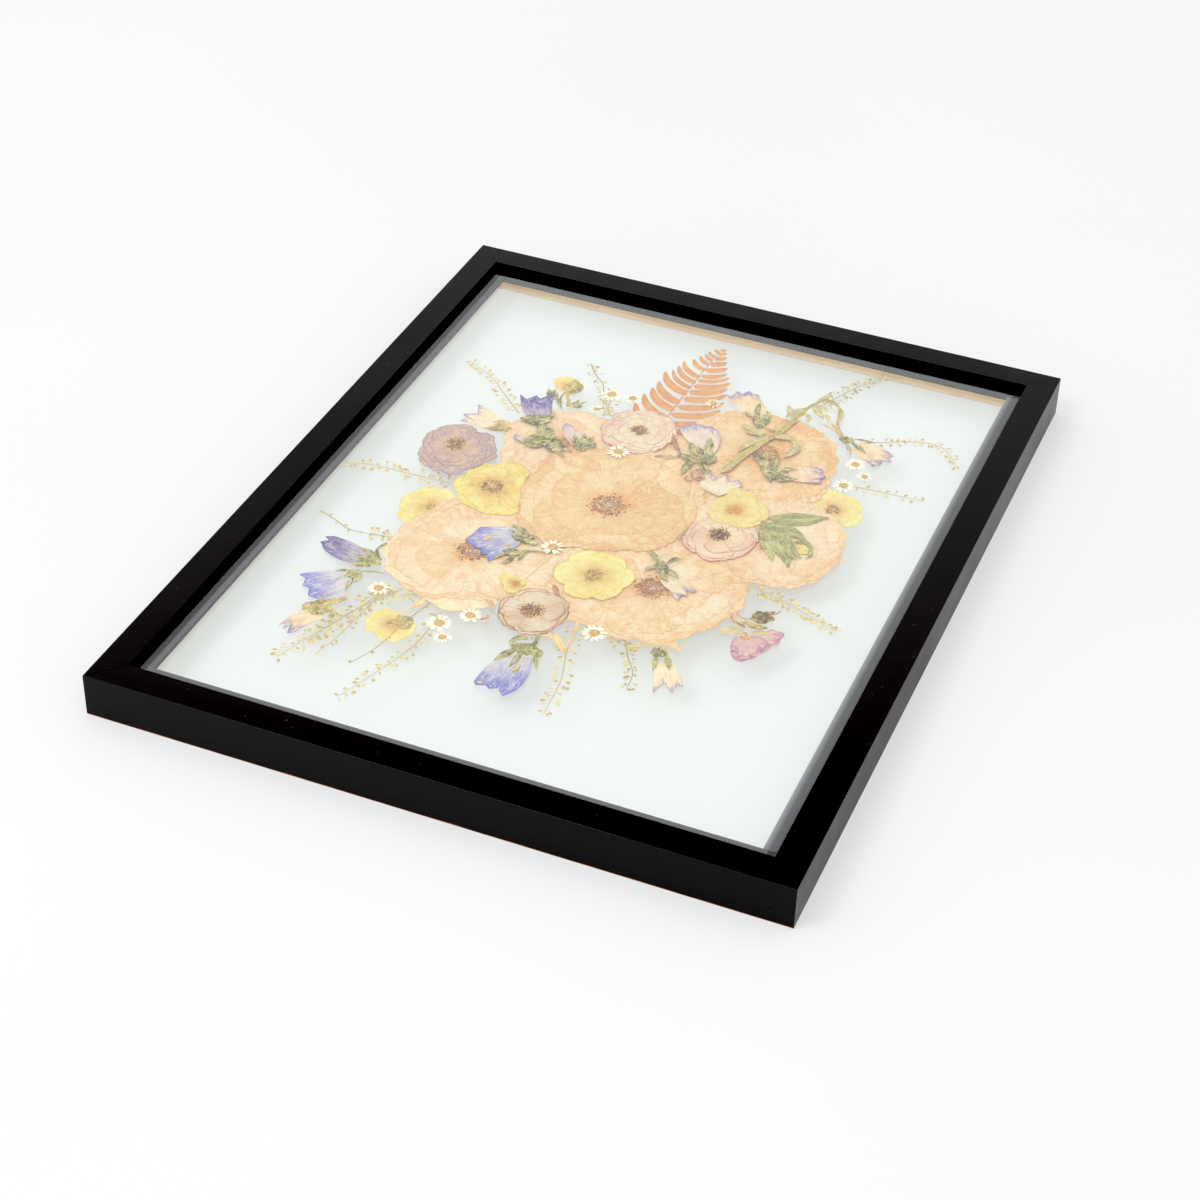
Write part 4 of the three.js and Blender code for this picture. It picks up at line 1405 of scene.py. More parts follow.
# name: (layer, node it stands for or "", slot, tissue, knots, blades, stems)
# A knot is (x, y, length, width, angle); a blade is (width, points); a stem is (from, to, points).
GREENS = {
    "purple_left_calyx": (3, "", "leaf_green", "calyx", [(-106, -86, 13, 10, 10)], [
        (4.2, [(-103, -83), (-110, -79), (-118, -77)]), (3.8, [(-104, -86), (-113, -85), (-122, -86)]),
        (3.6, [(-103, -89), (-110, -91.5), (-116, -92)]), (3.2, [(-104, -82), (-107, -84), (-113, -82)]),
    ], [(2.4, 1.8, [(-103, -82), (-107, -75), (-105, -67)])]),
    "blue_left_calyx": (3, "", "leaf_green", "calyx", [(-109, -100, 9, 7, 100)], [
        (2.2, [(-110, -98), (-115, -99), (-119.5, -103)]), (2.0, [(-110, -101), (-114, -107), (-115, -111)]),
        (2.8, [(-108, -101), (-107, -108), (-106, -115)]), (2.6, [(-106, -97), (-104, -102), (-105, -107)]),
    ], [(1.3, 0.9, [(-107, -97), (-101, -94), (-94, -93)])]),
    "peach_left_calyx": (3, "", "leaf_green", "husk", [(-112, -133, 13, 12, 60), (-108, -126, 9, 5, 30)], [
        (3.4, [(-106, -124), (-103, -120), (-105, -126)]), (3.6, [(-116, -130), (-119, -135), (-118, -139)]),
        (3.4, [(-108, -132), (-103, -134), (-104, -139)]), (3.0, [(-113, -128), (-116, -124), (-110, -121)]),
    ], []),
    "blue_middle_calyx": (6, "", "leaf_green", "calyx", [(-37, -34, 12, 7, -15), (-40, -48, 9, 6, 20)], [
        (3.2, [(-37, -31), (-43, -27), (-51, -25)]), (2.6, [(-38, -34), (-44, -31), (-50, -30)]),
        (2.6, [(-36, -36), (-42, -36), (-47, -33)]), (2.8, [(-38, -50), (-38, -55), (-41, -60)]),
        (2.4, [(-41, -49), (-45, -54), (-46, -58)]), (2.6, [(-38, -46), (-34, -48), (-34, -54)]),
    ], [(1.2, 0.9, [(-36, -45), (-28, -42), (-19, -39)]), (1.0, 0.8, [(-34, -50), (-32, -44), (-26, -41)])]),
    "violet_upper_left_calyx": (6, "", "leaf_green", "calyx", [
        (-80, 76, 15, 9, 20), (-71, 67, 14, 7, -50)], [
        (3.4, [(-77, 78), (-74, 83), (-73.5, 88)]), (3.2, [(-82, 78), (-86, 74), (-88, 72)]),
        (4.2, [(-76, 74), (-70, 69), (-65, 60)]), (3.0, [(-74, 70), (-68, 70), (-66, 65)]),
    ], [(2.2, 1.8, [(-74, 72), (-70, 66), (-66, 58)])]),
    "pale_left_calyx": (1, "", "leaf_green", "husk", [(-94.5, 63.5, 8, 9, 80)], [
        (4.4, [(-92, 68), (-97, 68), (-103, 66)]), (4.6, [(-92, 61), (-98, 60), (-105, 58)]),
        (3.6, [(-92, 65), (-98, 64), (-101, 63)]),
    ], []),
    "small_upper_left_calyx": (6, "", "leaf_green", "calyx", [(-45.5, 63, 12, 8, 95)], [
        (2.4, [(-46, 67), (-48, 72), (-49, 75)]), (2.2, [(-44, 67), (-43.5, 71), (-42.5, 74)]),
        (2.6, [(-48, 65), (-52, 68), (-54, 72)]), (2.6, [(-43, 65), (-40, 67), (-39, 62)]),
    ], []),
    "closed_upper_left_calyx": (7, "", "leaf_green", "calyx", [
        (-70, 56, 15, 9, 20), (-60, 54, 11, 7, -20)], [
        (3.2, [(-68, 60), (-72, 62), (-77, 58)]), (3.0, [(-66, 52), (-72, 50), (-76, 51)]),
        (3.2, [(-62, 57), (-57, 60), (-52, 57)]), (2.4, [(-60, 52), (-54, 50), (-50, 47)]),
        (2.6, [(-64, 60), (-64, 64), (-60, 62)]),
    ], [(1.0, 0.6, [(-56, 55), (-52, 53), (-48, 55)])]),
    "upper_left_tangle": (5, "", "stamen_brown", "russet", [], [
        (2.6, [(-57, 68), (-54, 65), (-50, 60)]), (2.4, [(-60, 64), (-56, 62), (-52, 58)]),
        (2.2, [(-62, 66), (-60, 60), (-55, 57)]), (2.0, [(-54, 60), (-50, 56), (-48, 52)]),
    ], []),
    "top_calyx": (4, "", "leaf_green", "calyx", [(38.5, 131.5, 12, 9, 100)], [
        (3.6, [(35, 134), (33, 141), (32, 149)]), (2.8, [(34, 132), (30, 134), (27, 136)]),
        (2.8, [(41, 135), (41, 139), (38, 142)]), (2.6, [(37, 127), (39, 124), (42, 125)]),
    ], [(1.6, 1.4, [(41, 127), (46, 124), (52, 123)])]),
    "lilac_middle_calyx": (7, "", "leaf_green", "calyx", [(22.5, 81, 12, 9, 100)], [
        (5.6, [(10, 91), (15, 85), (22, 79)]), (5.2, [(19, 100), (21.5, 91), (25, 82)]),
        (3.2, [(27, 85), (28, 80), (26, 74)]), (4.4, [(7, 78), (15, 76), (22, 73)]),
        (4.2, [(18, 75), (16.5, 68), (17, 58)]), (2.6, [(24, 74), (28, 70), (30, 64)]),
    ], [(2.2, 1.8, [(20, 78), (24, 73), (29, 66)])]),
    "brown_bud_middle": (6, "", "bud_brown", "russet", [], [
        (7, [(25, 69), (24.5, 63), (25, 57)]), (2.4, [(20, 60), (21, 56), (25, 55)]),
        (2.4, [(28, 65), (29, 60), (26, 56)]),
    ], []),
    "in_right_bloom_calyx": (6, "", "leaf_green", "calyx", [(64.5, 81.5, 11, 8, 70)], [
        (3.6, [(62, 85), (61, 93), (59.5, 101)]), (4.2, [(66, 86), (70, 89), (75, 91)]),
        (4.0, [(67, 81), (72, 80), (78, 82)]), (2.8, [(66, 78), (70, 77), (73, 78)]),
        (5.0, [(46, 95), (55, 89), (60, 81), (66, 72)]), (3.4, [(47, 98), (54, 96), (59, 88)]),
    ], []),
    "right_calyx": (4, "", "leaf_green", "calyx", [(91, 132, 9, 7, 0)], [
        (1.8, [(94, 135), (100, 136), (107, 136)]), (3.2, [(94, 131), (99, 128), (105, 124)]),
        (2.6, [(91, 129), (95, 124), (98, 118)]), (2.4, [(88, 134), (85, 138), (82, 141)]),
    ], []),
    "blue_bottom_calyx": (4, "", "leaf_green", "calyx", [(1, -121.5, 15, 9, 5)], [
        (4.6, [(-3, -122), (-7, -129), (-10.5, -136)]), (3.2, [(0, -123), (-0.5, -131), (-1, -138)]),
        (3.0, [(6, -120), (9, -127), (12.5, -134)]), (4.0, [(-9, -119), (-6, -114), (1, -112)]),
        (3.2, [(-7, -113), (-8, -119), (-6, -123)]), (3.0, [(6, -119), (9, -121), (10, -126)]),
    ], [(3.0, 2.2, [(3, -118), (3, -112), (2, -107)])]),
    "peach_bottom_calyx": (4, "", "leaf_green", "calyx", [(64.5, -95.5, 9, 8, 80)], [
        (2.8, [(63.5, -98), (65.5, -104), (67, -111)]), (3.4, [(68, -95), (71, -100), (74.5, -107)]),
        (2.4, [(61, -92), (62, -96), (63, -99)]),
    ], []),
    "small_low_calyx": (7, "", "leaf_green", "calyx", [(39, -28, 10, 7, -60)], [
        (3.2, [(37, -25), (32, -20), (26.5, -15)]), (1.8, [(40, -24), (43, -17), (48, -17)]),
        (3.8, [(42, -28), (46, -30), (51, -34)]), (3.6, [(40, -31), (43, -35), (47, -39)]),
        (2.6, [(36, -29), (33, -31), (32, -35)]),
    ], []),
    "yellow_bud_top_calyx": (3, "", "leaf_green", "husk", [], [
        (9, [(-75.5, 112), (-75, 119), (-77, 127)]), (5, [(-74, 112), (-71, 118), (-71, 124)]),
    ], [(2.0, 1.7, [(-75, 113), (-73, 106), (-66, 98)]), (1.5, 1.2, [(-76, 112), (-77, 106), (-74, 98)])]),
    "top_left_tufts": (2, "", "leaf_green", "calyx", [(-84, 107, 7, 5, 110), (-65, 102, 7, 6, 80)], [
        (2.4, [(-80, 100), (-84, 105), (-88, 112)]), (2.4, [(-80, 101), (-82, 108), (-84, 113)]),
        (2.0, [(-79, 102), (-80, 107), (-81, 110)]), (2.2, [(-79, 106), (-76, 100), (-71, 94)]),
        (2.2, [(-69, 97), (-65, 103), (-61, 108)]), (2.2, [(-69, 98), (-67, 104), (-66, 108)]),
        (2.0, [(-70, 98), (-71, 103), (-71, 107)]), (1.8, [(-82, 104), (-77, 102), (-72, 100)]),
    ], []),
    "crumpled_bloom_calyx": (1, "", "leaf_green", "husk", [(-67, -125, 10, 9, 0)], [
        (4.6, [(-66, -121), (-70, -126), (-74, -130)]), (4.0, [(-63, -124), (-64, -129), (-68, -131)]),
    ], []),
    "leaf_cluster_leaves": (5, "leaf_cluster", "leaf_green", "leaf", [], [
        (12, [(75, 40), (88, 44), (98, 49), (106, 54)]), (9.5, [(77, 36), (89, 33), (96, 31), (102, 28)]),
        (9.5, [(74, 36), (80, 24), (86, 13), (91, 3)]), (11, [(76, 36), (87, 22), (95, 12), (101, 1)]),
        (9, [(80, 33), (89, 25), (98, 20)]),
    ], []),
    "leaf_cluster_curled": (6, "", "leaf_green", "leaf", [], [
        (3.4, [(93, 17), (98, 12), (103, 9)]), (2.6, [(96, 22), (100, 15), (105, 11)]),
        (3.2, [(96, 24), (102, 26), (108, 22)]), (2.4, [(105, 23), (108, 17), (107, 12)]),
        (2.2, [(85, 31), (87, 33), (89, 31)]), (2.0, [(83, 24), (85, 26), (87, 24)]),
    ], []),
    "arching_stem_leaves": (7, "arching_stem", "leaf_green", "stalk", [
        (56, 146, 11, 7, 60), (70, 165.5, 8, 4, -10)], [
        (4.4, [(48, 152), (52, 145), (55, 138)]), (4.0, [(51, 138), (54, 146), (59, 154)]),
        (5.0, [(61, 160), (66, 153), (72, 146)]), (4.0, [(62, 154), (67, 158), (72, 154)]),
        (3.0, [(62, 163), (66, 170), (67, 177)]), (2.8, [(76, 163), (80, 156), (82, 148)]),
        (3.0, [(68, 148), (73, 150), (76, 144)]), (3.2, [(60, 148), (64, 144), (64, 138)]),
        (5.2, [(30, 122), (38, 119), (46, 113)]), (4.0, [(34, 115), (41, 116), (47, 119)]),
        (4.6, [(38, 94), (41, 104), (50, 117)]), (5.4, [(49, 116), (57, 119), (65, 118)]),
        (4.4, [(62, 119), (67, 112), (66, 104), (62, 97)]), (2.0, [(73, 141), (78, 139), (83, 136)]),
        (2.0, [(77, 145), (80, 141), (84, 137)]), (2.8, [(82, 143), (84, 137), (88, 131)]),
    ], [
        (4.2, 3.4, [(36, 69), (40, 86), (44, 99), (50, 114)]),
        (3.4, 3.0, [(49, 111), (54, 126), (57, 140), (60, 152)]),
        (2.6, 2.0, [(58, 146), (61, 157), (67, 166), (74, 164), (79, 155), (81, 144), (86, 136), (90, 133)]),
        (2.0, 1.4, [(39, 72), (43, 90), (48, 104)]),
    ]),
    "middle_russet_rim": (5, "", "stamen_brown", "russet", [], [
        (3.2, [(-3, 97), (2, 87), (9, 79)]), (2.6, [(-4, 70), (0, 72), (5, 75)]),
        (1.8, [(2, 69), (6, 73), (10, 78)]), (3.0, [(75, 30), (79, 20), (82, 10)]),
        (2.0, [(38, -1), (38, 7), (40, 14)]), (3.0, [(-8, -65), (-5, -69), (-2, -73)]),
        (2.6, [(-36, -92), (-32, -93), (-27, -97)]), (2.0, [(-29, -103), (-28, -106), (-31, -109)]),
    ], []),
    "low_beige_bits": (2, "", "seed_gold", "straw", [], [
        (4.0, [(60, -90), (67, -85), (73.5, -88)]), (3.2, [(63, -88), (70, -87), (74, -91)]),
        (4.2, [(9, -102), (14, -109), (21, -116)]), (5.2, [(-33, -61), (-28, -58), (-23, -63)]),
        (3.0, [(1, -109), (6, -105), (11, -107)]), (3.0, [(-66, -101), (-65, -107), (-68, -114)]),
    ], [
        (1.8, 1.2, [(47, -98), (54, -93), (62, -88)]), (1.3, 1.1, [(-19, -40), (-21, -52), (-24, -67)]),
        (2.2, 1.2, [(16, -88), (18, -99), (19.5, -113)]), (1.0, 0.8, [(-66, -100), (-68, -112), (-72, -120)]),
    ]),
    "magenta_sepals": (3, "", "leaf_green", "husk", [], [
        (5.2, [(95, -53), (102, -54), (109, -53)]), (3.4, [(97, -57), (93, -54), (90, -52)]),
    ], []),
    "magenta_stalks": (3, "", "stamen_brown", "russet", [], [], [
        (1.5, 1.1, [(88, -46), (93, -50.4), (102, -48.6)]), (1.8, 1.2, [(87, -48), (89, -54), (98, -57.5)]),
    ]),
}


# kind: (light, dark, pale), in screen colours, and what is drawn otherwise than on a leaf
GREEN_LOOKS = {
    "calyx": ((202, 190, 120), (82, 86, 46), (244, 230, 170), dict(scale=1.6)),
    "leaf": ((196, 190, 124), (140, 138, 80), (226, 218, 154), {}),
    "stalk": ((224, 204, 144), (150, 138, 88), (250, 234, 182), dict(blotches=0.35)),
    "husk": ((230, 204, 130), (142, 126, 68), (248, 228, 160), {}),
    "russet": ((232, 182, 138), (158, 100, 72), (248, 212, 172), {}),
    "straw": ((252, 222, 156), (222, 184, 112), (255, 238, 188), {}),
    "parchment": ((232, 212, 166), (204, 182, 130), (248, 234, 200), {}),
    "bud": ((168, 138, 76), (84, 58, 34), (216, 192, 130), {}),
}


def green_look(kind):
    """The material of a kind of leaf, sepal, stem or bud."""
    *colours, look = GREEN_LOOKS[kind]
    return material(leaf_material, "dry_" + kind, *(rgb(*c) for c in colours), 0.2, **look)


def knot(x, y, length, width, angle, height, rng):
    """A crumpled lump, such as a calyx, pressed flat."""
    obj = ball(22, 14)
    points = coordinates(obj.data)
    turn = math.radians(angle)
    ridges = 1 + 0.16 * np.sin(7 * points[:, 1] * 1.7 + rng.uniform(0, TAU)) * points[:, 2]
    rough = 1 + 0.16 * swell(points[:, 0], points[:, 1] + points[:, 2], rng, 0.8, 8)
    px = points[:, 0] * length / 2 * rough
    py = points[:, 1] * width / 2 * rough * ridges
    places = np.column_stack([
        x + px * math.cos(turn) - py * math.sin(turn),
        y + px * math.sin(turn) + py * math.cos(turn),
        height + 0.17 * points[:, 2] * rough,
    ])
    set_coordinates(obj.data, places * MM)
    write_shade(obj.data, rng.uniform(0.55, 1.0))
    return obj


class FLOWERFRAME_OT_greens(bpy.types.Operator):
    """Builds the sepals, calyces, leaves and stalks"""

    bl_idname = "flower_frame.greens"
    bl_label = "Leaves and sepals"

    def execute(self, context):
        for name, (layer, node, slot, kind, knots, blades, stems) in GREENS.items():
            rng = random.Random(name)
            height = layer_height(layer) + 0.08
            parts = [stem(line, a, b, height, rng.random()) for a, b, line in stems]
            leaves = [
                blade(line, width, height + rng.uniform(0.0, 0.06), rng.uniform(0, 0.8), 7, 16)
                for width, line in blades
            ]
            if leaves:
                flat = join(leaves, name)
                thicken(flat, 0.12)
                parts.append(flat)
            parts += [knot(*values, height + 0.08, rng) for values in knots]
            finish_piece(join(parts, name), [green_look(kind)], node)
        return {"FINISHED"}


# ---- fern ----

FERN_FOOT = (-12.8, 96)
FERN_TIP = (-10, 201)
FERN_LEFT = [
    (-35, 103), (-36, 111), (-35.5, 120), (-34.5, 131), (-32.5, 139.5), (-31.5, 147.5), (-32, 159),
    (-28.5, 163), (-27, 168.5), (-26, 174.5), (-21.5, 179.5), (-19, 184.5), (-17, 188), (-16, 191.5),
    (-13.5, 195.5),
]
FERN_RIGHT = [
    (13, 105), (14, 115), (14, 124), (13, 133), (12, 141.5), (10.5, 150), (8.5, 157), (8, 163.5),
    (5.5, 168.5), (2.5, 172), (0.5, 178), (-2, 184), (-4, 189.5), (-5.5, 194), (-7, 197.5),
]


def fern_side(tips, rise_share, width_share, height, rng):
    """The leaflets of one side, each curved up from the stalk to its tip."""
    leaflets = []
    for number, (x, y) in enumerate(tips):
        along = (y - FERN_FOOT[1]) / (FERN_TIP[1] - FERN_FOOT[1])
        stalk_x = FERN_FOOT[0] + (FERN_TIP[0] - FERN_FOOT[0]) * along
        reach = x - stalk_x
        rise = rise_share * abs(reach)
        foot = y - rise
        following = tips[min(number + 1, len(tips) - 1)][1] - y
        previous = y - tips[max(number - 1, 0)][1]
        width = max((following + previous) / 2, 3.2) * width_share
        line = [
            (stalk_x, foot), (stalk_x + reach * 0.4, foot + rise * 0.16),
            (stalk_x + reach * 0.78, foot + rise * 0.52), (x, y),
        ]
        leaflets.append(
            blade(line, min(width, 6.4), height, rng.random() * 0.6, 7, 20, 0.3, 0.06, 0.5)
        )
    return leaflets


class FLOWERFRAME_OT_fern(bpy.types.Operator):
    """Builds the fern tip"""

    bl_idname = "flower_frame.fern"
    bl_label = "Fern tip"

    def execute(self, context):
        rng = random.Random("fern")
        height = layer_height(0) + 0.1
        copper = material(
            leaf_material, "dry_fern", tuple(context.scene.flower_frame_flowers.copper),
            rgb(222, 148, 86), rgb(244, 200, 142), 0.25,
        )
        pinnae = fern_side(FERN_LEFT, 0.86, 0.8, height, rng)
        pinnae += fern_side(FERN_RIGHT, 0.66, 0.93, height, rng)
        leaf = join(pinnae, "fern_pinnae")
        thicken(leaf, 0.08)
        rachis = stem([FERN_FOOT, (-12.4, 140), FERN_TIP], 1.1, 0.4, height + 0.08, 1.0)
        finish_piece(join([leaf, rachis], "fern_tip"), [copper], "fern")
        return {"FINISHED"}


# ---- petals and buds that are neither bloom nor bell ----


MAGENTA_MIDDLE = (101, -62)
MAGENTA_UPPER = [
    (100, -54), (108.2, -51.3), (113.8, -52.5), (118.2, -53), (118.4, -57), (116, -62.5), (114.3, -69),
    (111.5, -75), (108.6, -80.5), (104, -85), (97.5, -79.5), (95, -70), (94, -62),
]
MAGENTA_LOWER = [
    (95.3, -73.7), (95, -66.6), (98, -59), (104, -58.5), (107.1, -60.5), (112.9, -64), (112, -70),
    (109.3, -76.6), (105.5, -81.4), (101, -80.5), (97, -77.5),
]
MAGENTA_FOLD = [(98, -79), (103, -82.6), (108.6, -78.2), (112, -72), (115, -66), (117.6, -60)]

# name: (layer, knots)
YELLOW_SPOTS = {
    "leaf_cluster_bud": (5, [(103.5, 19, 8, 6, 70), (101.5, 22, 6, 4, 20)]),
    "blue_middle_streak": (6, [(-57, -42, 6, 2, 60), (-44.5, -43, 3, 1.6, 40)]),
    "blue_bottom_streak": (5, [(3, -138, 6, 1.8, 80), (-9, -156, 3, 2, 10)]),
}


def make_magenta_petals(height, rng):
    """Two crumpled petals and the folds along their lower edge."""
    upper = reach_by_angle(MAGENTA_UPPER, MAGENTA_MIDDLE)
    lower = reach_by_angle(MAGENTA_LOWER, MAGENTA_MIDDLE)
    parts = [
        petal(MAGENTA_MIDDLE, upper, -0.75, 1.55, 1.0, height, rng, 20, 30, 0.03, 0.05, 1.2),
        petal(MAGENTA_MIDDLE, lower, -1.15, 1.35, 1.0, height + 0.14, rng, 20, 30, 0.03, 0.05, 0.5),
    ]
    for (x0, y0), (x1, y1) in zip(MAGENTA_FOLD, MAGENTA_FOLD[1:]):
        line = [(x0, y0), ((x0 + x1) / 2 + 0.4, (y0 + y1) / 2 - 0.5), (x1, y1)]
        parts.append(blade(line, rng.uniform(1.6, 2.6), height + 0.3, 1.0, 5, 10, 0.5, 0.3, 0.6))
    loose = join(parts, "magenta_petals")
    thicken(loose)
    finish_piece(loose, [bell_tissue("magenta")], "magenta_petal")


def make_magenta_foot(height, rng):
    """Pale petal ends and loose pollen at the foot of the magenta petals."""
    pale = [
        blade([(85, -66), (92, -62), (100, -62)], 7, height + 0.2, 0.8, 7, 14),
        blade([(101, -60), (107, -57), (113, -58)], 4, height + 0.1, 0.8, 7, 14),
    ]
    bits = join(pale, "beige_petal_bits")
    thicken(bits)
    finish_piece(bits, [green_look("parchment")])
    core = grains((100.5, -63.5), 3.0, 26, 1.4, height + 0.3, rng)
    core.name = core.data.name = "magenta_petal_pollen"
    finish_piece(core, [grain_tissue("pollen_orange")])


def make_brown_bud(height, rng):
    """A dark bud: a crumpled lump with four ridges, on a short stalk."""
    ridges = [
        blade([(97 + 0.5 * k, -49.5), (101 + 1.2 * k, -45 + k), (104 + 1.2 * k, -39.5 + 0.6 * k)], 3.2,
              height + 0.06, 0.2 + 0.2 * k, 5, 12)
        for k in range(4)
    ]
    skin = join(ridges, "brown_bud_skin")
    thicken(skin, 0.12)
    lump = knot(103, -45.3, 12, 10, 35, height, rng)
    stalk = stem([(106, -41), (109, -39), (109.5, -35.5)], 1.0, 0.5, height, 0.6)
    bud = join([skin, lump, stalk], "brown_flower_bud")
    finish_piece(bud, [green_look("bud")], "brown_bud")


class FLOWERFRAME_OT_buds(bpy.types.Operator):
    """Builds the magenta petals, the brown bud and small yellow bits"""

    bl_idname = "flower_frame.buds"
    bl_label = "Loose petals and buds"

    def execute(self, context):
        rng = random.Random("magenta")
        make_magenta_petals(layer_height(1) + 0.1, rng)
        make_magenta_foot(layer_height(1) + 0.1, rng)
        make_brown_bud(layer_height(3) + 0.14, rng)
        for name, (layer, knots) in YELLOW_SPOTS.items():
            lumps = [knot(*values, layer_height(layer) + 0.2, rng) for values in knots]
            finish_piece(join(lumps, name), [tissue("yellow")])
        return {"FINISHED"}


# ---- daisies ----

# (x, y, radius, petals)
DAISIES = [
    (-24, 65, 7.2, 13), (-21.5, -35, 7.2, 12), (27.5, -94, 7.6, 13), (-91, -105.5, 6.6, 13),
    (-37, -107, 6.6, 14), (-49, -119.5, 7.4, 15), (-42.5, -129.5, 5.4, 11), (-51, 121, 7.2, 12),
    (-38, 122, 6.2, 9), (-53, 102.5, 4.6, 7), (7, 137, 5.2, 10), (103, 111, 6.2, 14),
    (111.5, 101.5, 5.0, 8), (103.5, 88, 6.8, 12),
]


def make_daisy(number, x, y, radius, count):
    """A small daisy: narrow cream petals round a domed, grainy disc."""
    rng = random.Random(f"daisy {number}")
    height = layer_height(7 if abs(x) < 30 and abs(y) < 70 else 3) + 0.05
    placings = []
    for k in range(count):
        angle = (k + rng.uniform(-0.25, 0.25)) * TAU / count
        length = radius * rng.uniform(0.56, 0.72)
        way = radius - length / 2 - radius * rng.uniform(0, 0.14)
        matrix = placing(
            x + way * math.cos(angle), y + way * math.sin(angle), height + 0.03 * rng.random(),
            length, radius * rng.uniform(0.2, 0.27), 0.16, angle + rng.uniform(-0.2, 0.2),
        )
        placings.append((matrix, rng.random()))
    rays = coloured(copies(ball(10, 6), placings), daisy_tissue())
    disc = radius * 0.4
    dome = copies(ball(16, 8), [(placing(x, y, height + 0.04, disc * 2, disc * 2, 0.3, 0), 0.5)])
    seeds = grains((x, y), disc, 70, disc * 0.32, height + 0.12, rng, low=0.1, lift=0.08)
    parts = [rays, coloured(dome, grain_tissue("daisy_gold")), coloured(seeds, grain_tissue("daisy_gold"))]
    finish_piece(join(parts, f"daisy_{number}"), [])


def daisy_tissue():
    """The material of the daisies' petals."""
    cream = bpy.context.scene.flower_frame_flowers.cream
    return material(grain_material, "daisy_petal", tuple(cream), rgb(250, 242, 212), 0.15)


class FLOWERFRAME_OT_daisies(bpy.types.Operator):
    """Builds the small daisies"""

    bl_idname = "flower_frame.daisies"
    bl_label = "Daisies"

    def execute(self, context):
        for number, values in enumerate(DAISIES, 1):
            make_daisy(number, *values)
        return {"FINISHED"}


# ---- seed sprays ----

# name: (layer, node or "", stem, seeds, nearest and farthest row, length and width of a seed, tint)
SPRAYS = {
    "spray_upper_left_seeds": (0, "spray_upper_left", [(-92, 80), (-108, 95), (-124, 110), (-143, 121)],
                               40, 2.4, 5.2, 3.0, 1.9, "gold"),
    "spray_left_seeds": (1, "spray_left", [(-97, -1), (-125, -2), (-148, -3), (-161, -9)],
                         46, 2.0, 7.0, 2.9, 1.9, "gold"),
    "spray_left_thin": (0, "", [(-153, -54), (-142, -58), (-128, -63.5), (-105, -60.5)],
                        9, 0.8, 2.2, 2.6, 1.3, "green"),
    "spray_left_pods": (0, "", [(-104, -60), (-109, -61), (-118, -62)], 11, 2.5, 7.0, 2.6, 2.0, "gold"),
    "spray_bottom_seeds": (1, "spray_bottom", [(-52, -110), (-53, -140), (-60, -166), (-70, -195)],
                           44, 1.8, 5.2, 2.4, 2.0, "gold"),
    "spray_dense_a": (0, "", [(-86, -101), (-98, -138), (-106, -158), (-113, -179)],
                      64, 1.6, 7.5, 2.4, 1.9, "gold"),
    "spray_dense_b": (1, "", [(-80, -101), (-92, -122), (-100, -142), (-104, -160)],
                      60, 1.2, 8.0, 2.4, 1.9, "gold"),
    "spray_dense_c": (1, "", [(-88, -104), (-90, -130), (-92, -150), (-96, -168)],
                      20, 0.8, 4.0, 2.2, 1.5, "gold"),
    "spray_top_of_dense": (0, "", [(-70, -101), (-78, -105), (-90, -112)], 26, 1.5, 6.0, 2.4, 1.9, "gold"),
    "spray_thin_low": (0, "", [(-60, -100), (-66, -125), (-70, -150), (-77, -168)],
                       9, 0.6, 2.0, 2.0, 1.4, "green"),
    "spray_low_middle": (1, "", [(17, -90), (20, -112), (27, -137), (29.5, -165)],
                         36, 2.2, 5.8, 2.8, 2.0, "gold"),
    "spray_low_right": (1, "", [(44, -92), (51, -105), (58, -116), (60, -130)],
                        26, 1.6, 5.0, 2.4, 1.9, "green"),
    "spray_low_pods": (0, "", [(36, -92), (44, -96), (52, -94)], 14, 1.5, 5.0, 2.2, 2.0, "gold"),
    "spray_right_low": (1, "", [(86, -21), (105, -26), (124, -33), (141, -41)],
                        58, 2.2, 5.0, 3.0, 1.9, "gold"),
    "spray_top_right": (1, "", [(66, 163), (72, 177), (79, 191), (90, 206)],
                        52, 1.4, 6.5, 2.6, 1.6, "green"),
    "spray_arc_right": (1, "", [(100, 135), (112, 141), (126, 148), (140, 150), (150, 143), (156, 131)],
                        46, 1.2, 4.6, 2.6, 1.7, "gold"),
    "spray_right_line": (0, "", [(108, 91), (126, 92), (149, 93)], 16, 1.6, 4.6, 2.6, 1.9, "gold"),
    "spray_top_left": (0, "", [(-76, 149), (-69, 139), (-61, 131), (-56, 121), (-50, 111), (-47, 100)],
                       34, 1.2, 4.6, 2.4, 1.6, "green"),
    "spray_bud_pods": (0, "", [(-50, 118), (-48, 108), (-44, 100)], 12, 2.0, 6.0, 3.0, 2.4, "gold"),
}


SPRAY_SPOTS = 60  # places along a stem where a seed's stalk can start


def seed_look(tint):
    """The material of green or golden seeds and their stems."""
    if tint == "green":
        return material(grain_material, "seed_green", rgb(228, 212, 140), rgb(178, 164, 92), 0.25)
    gold = bpy.context.scene.flower_frame_flowers.gold
    return material(grain_material, "seed_gold", tuple(gold), rgb(204, 180, 108), 0.25)


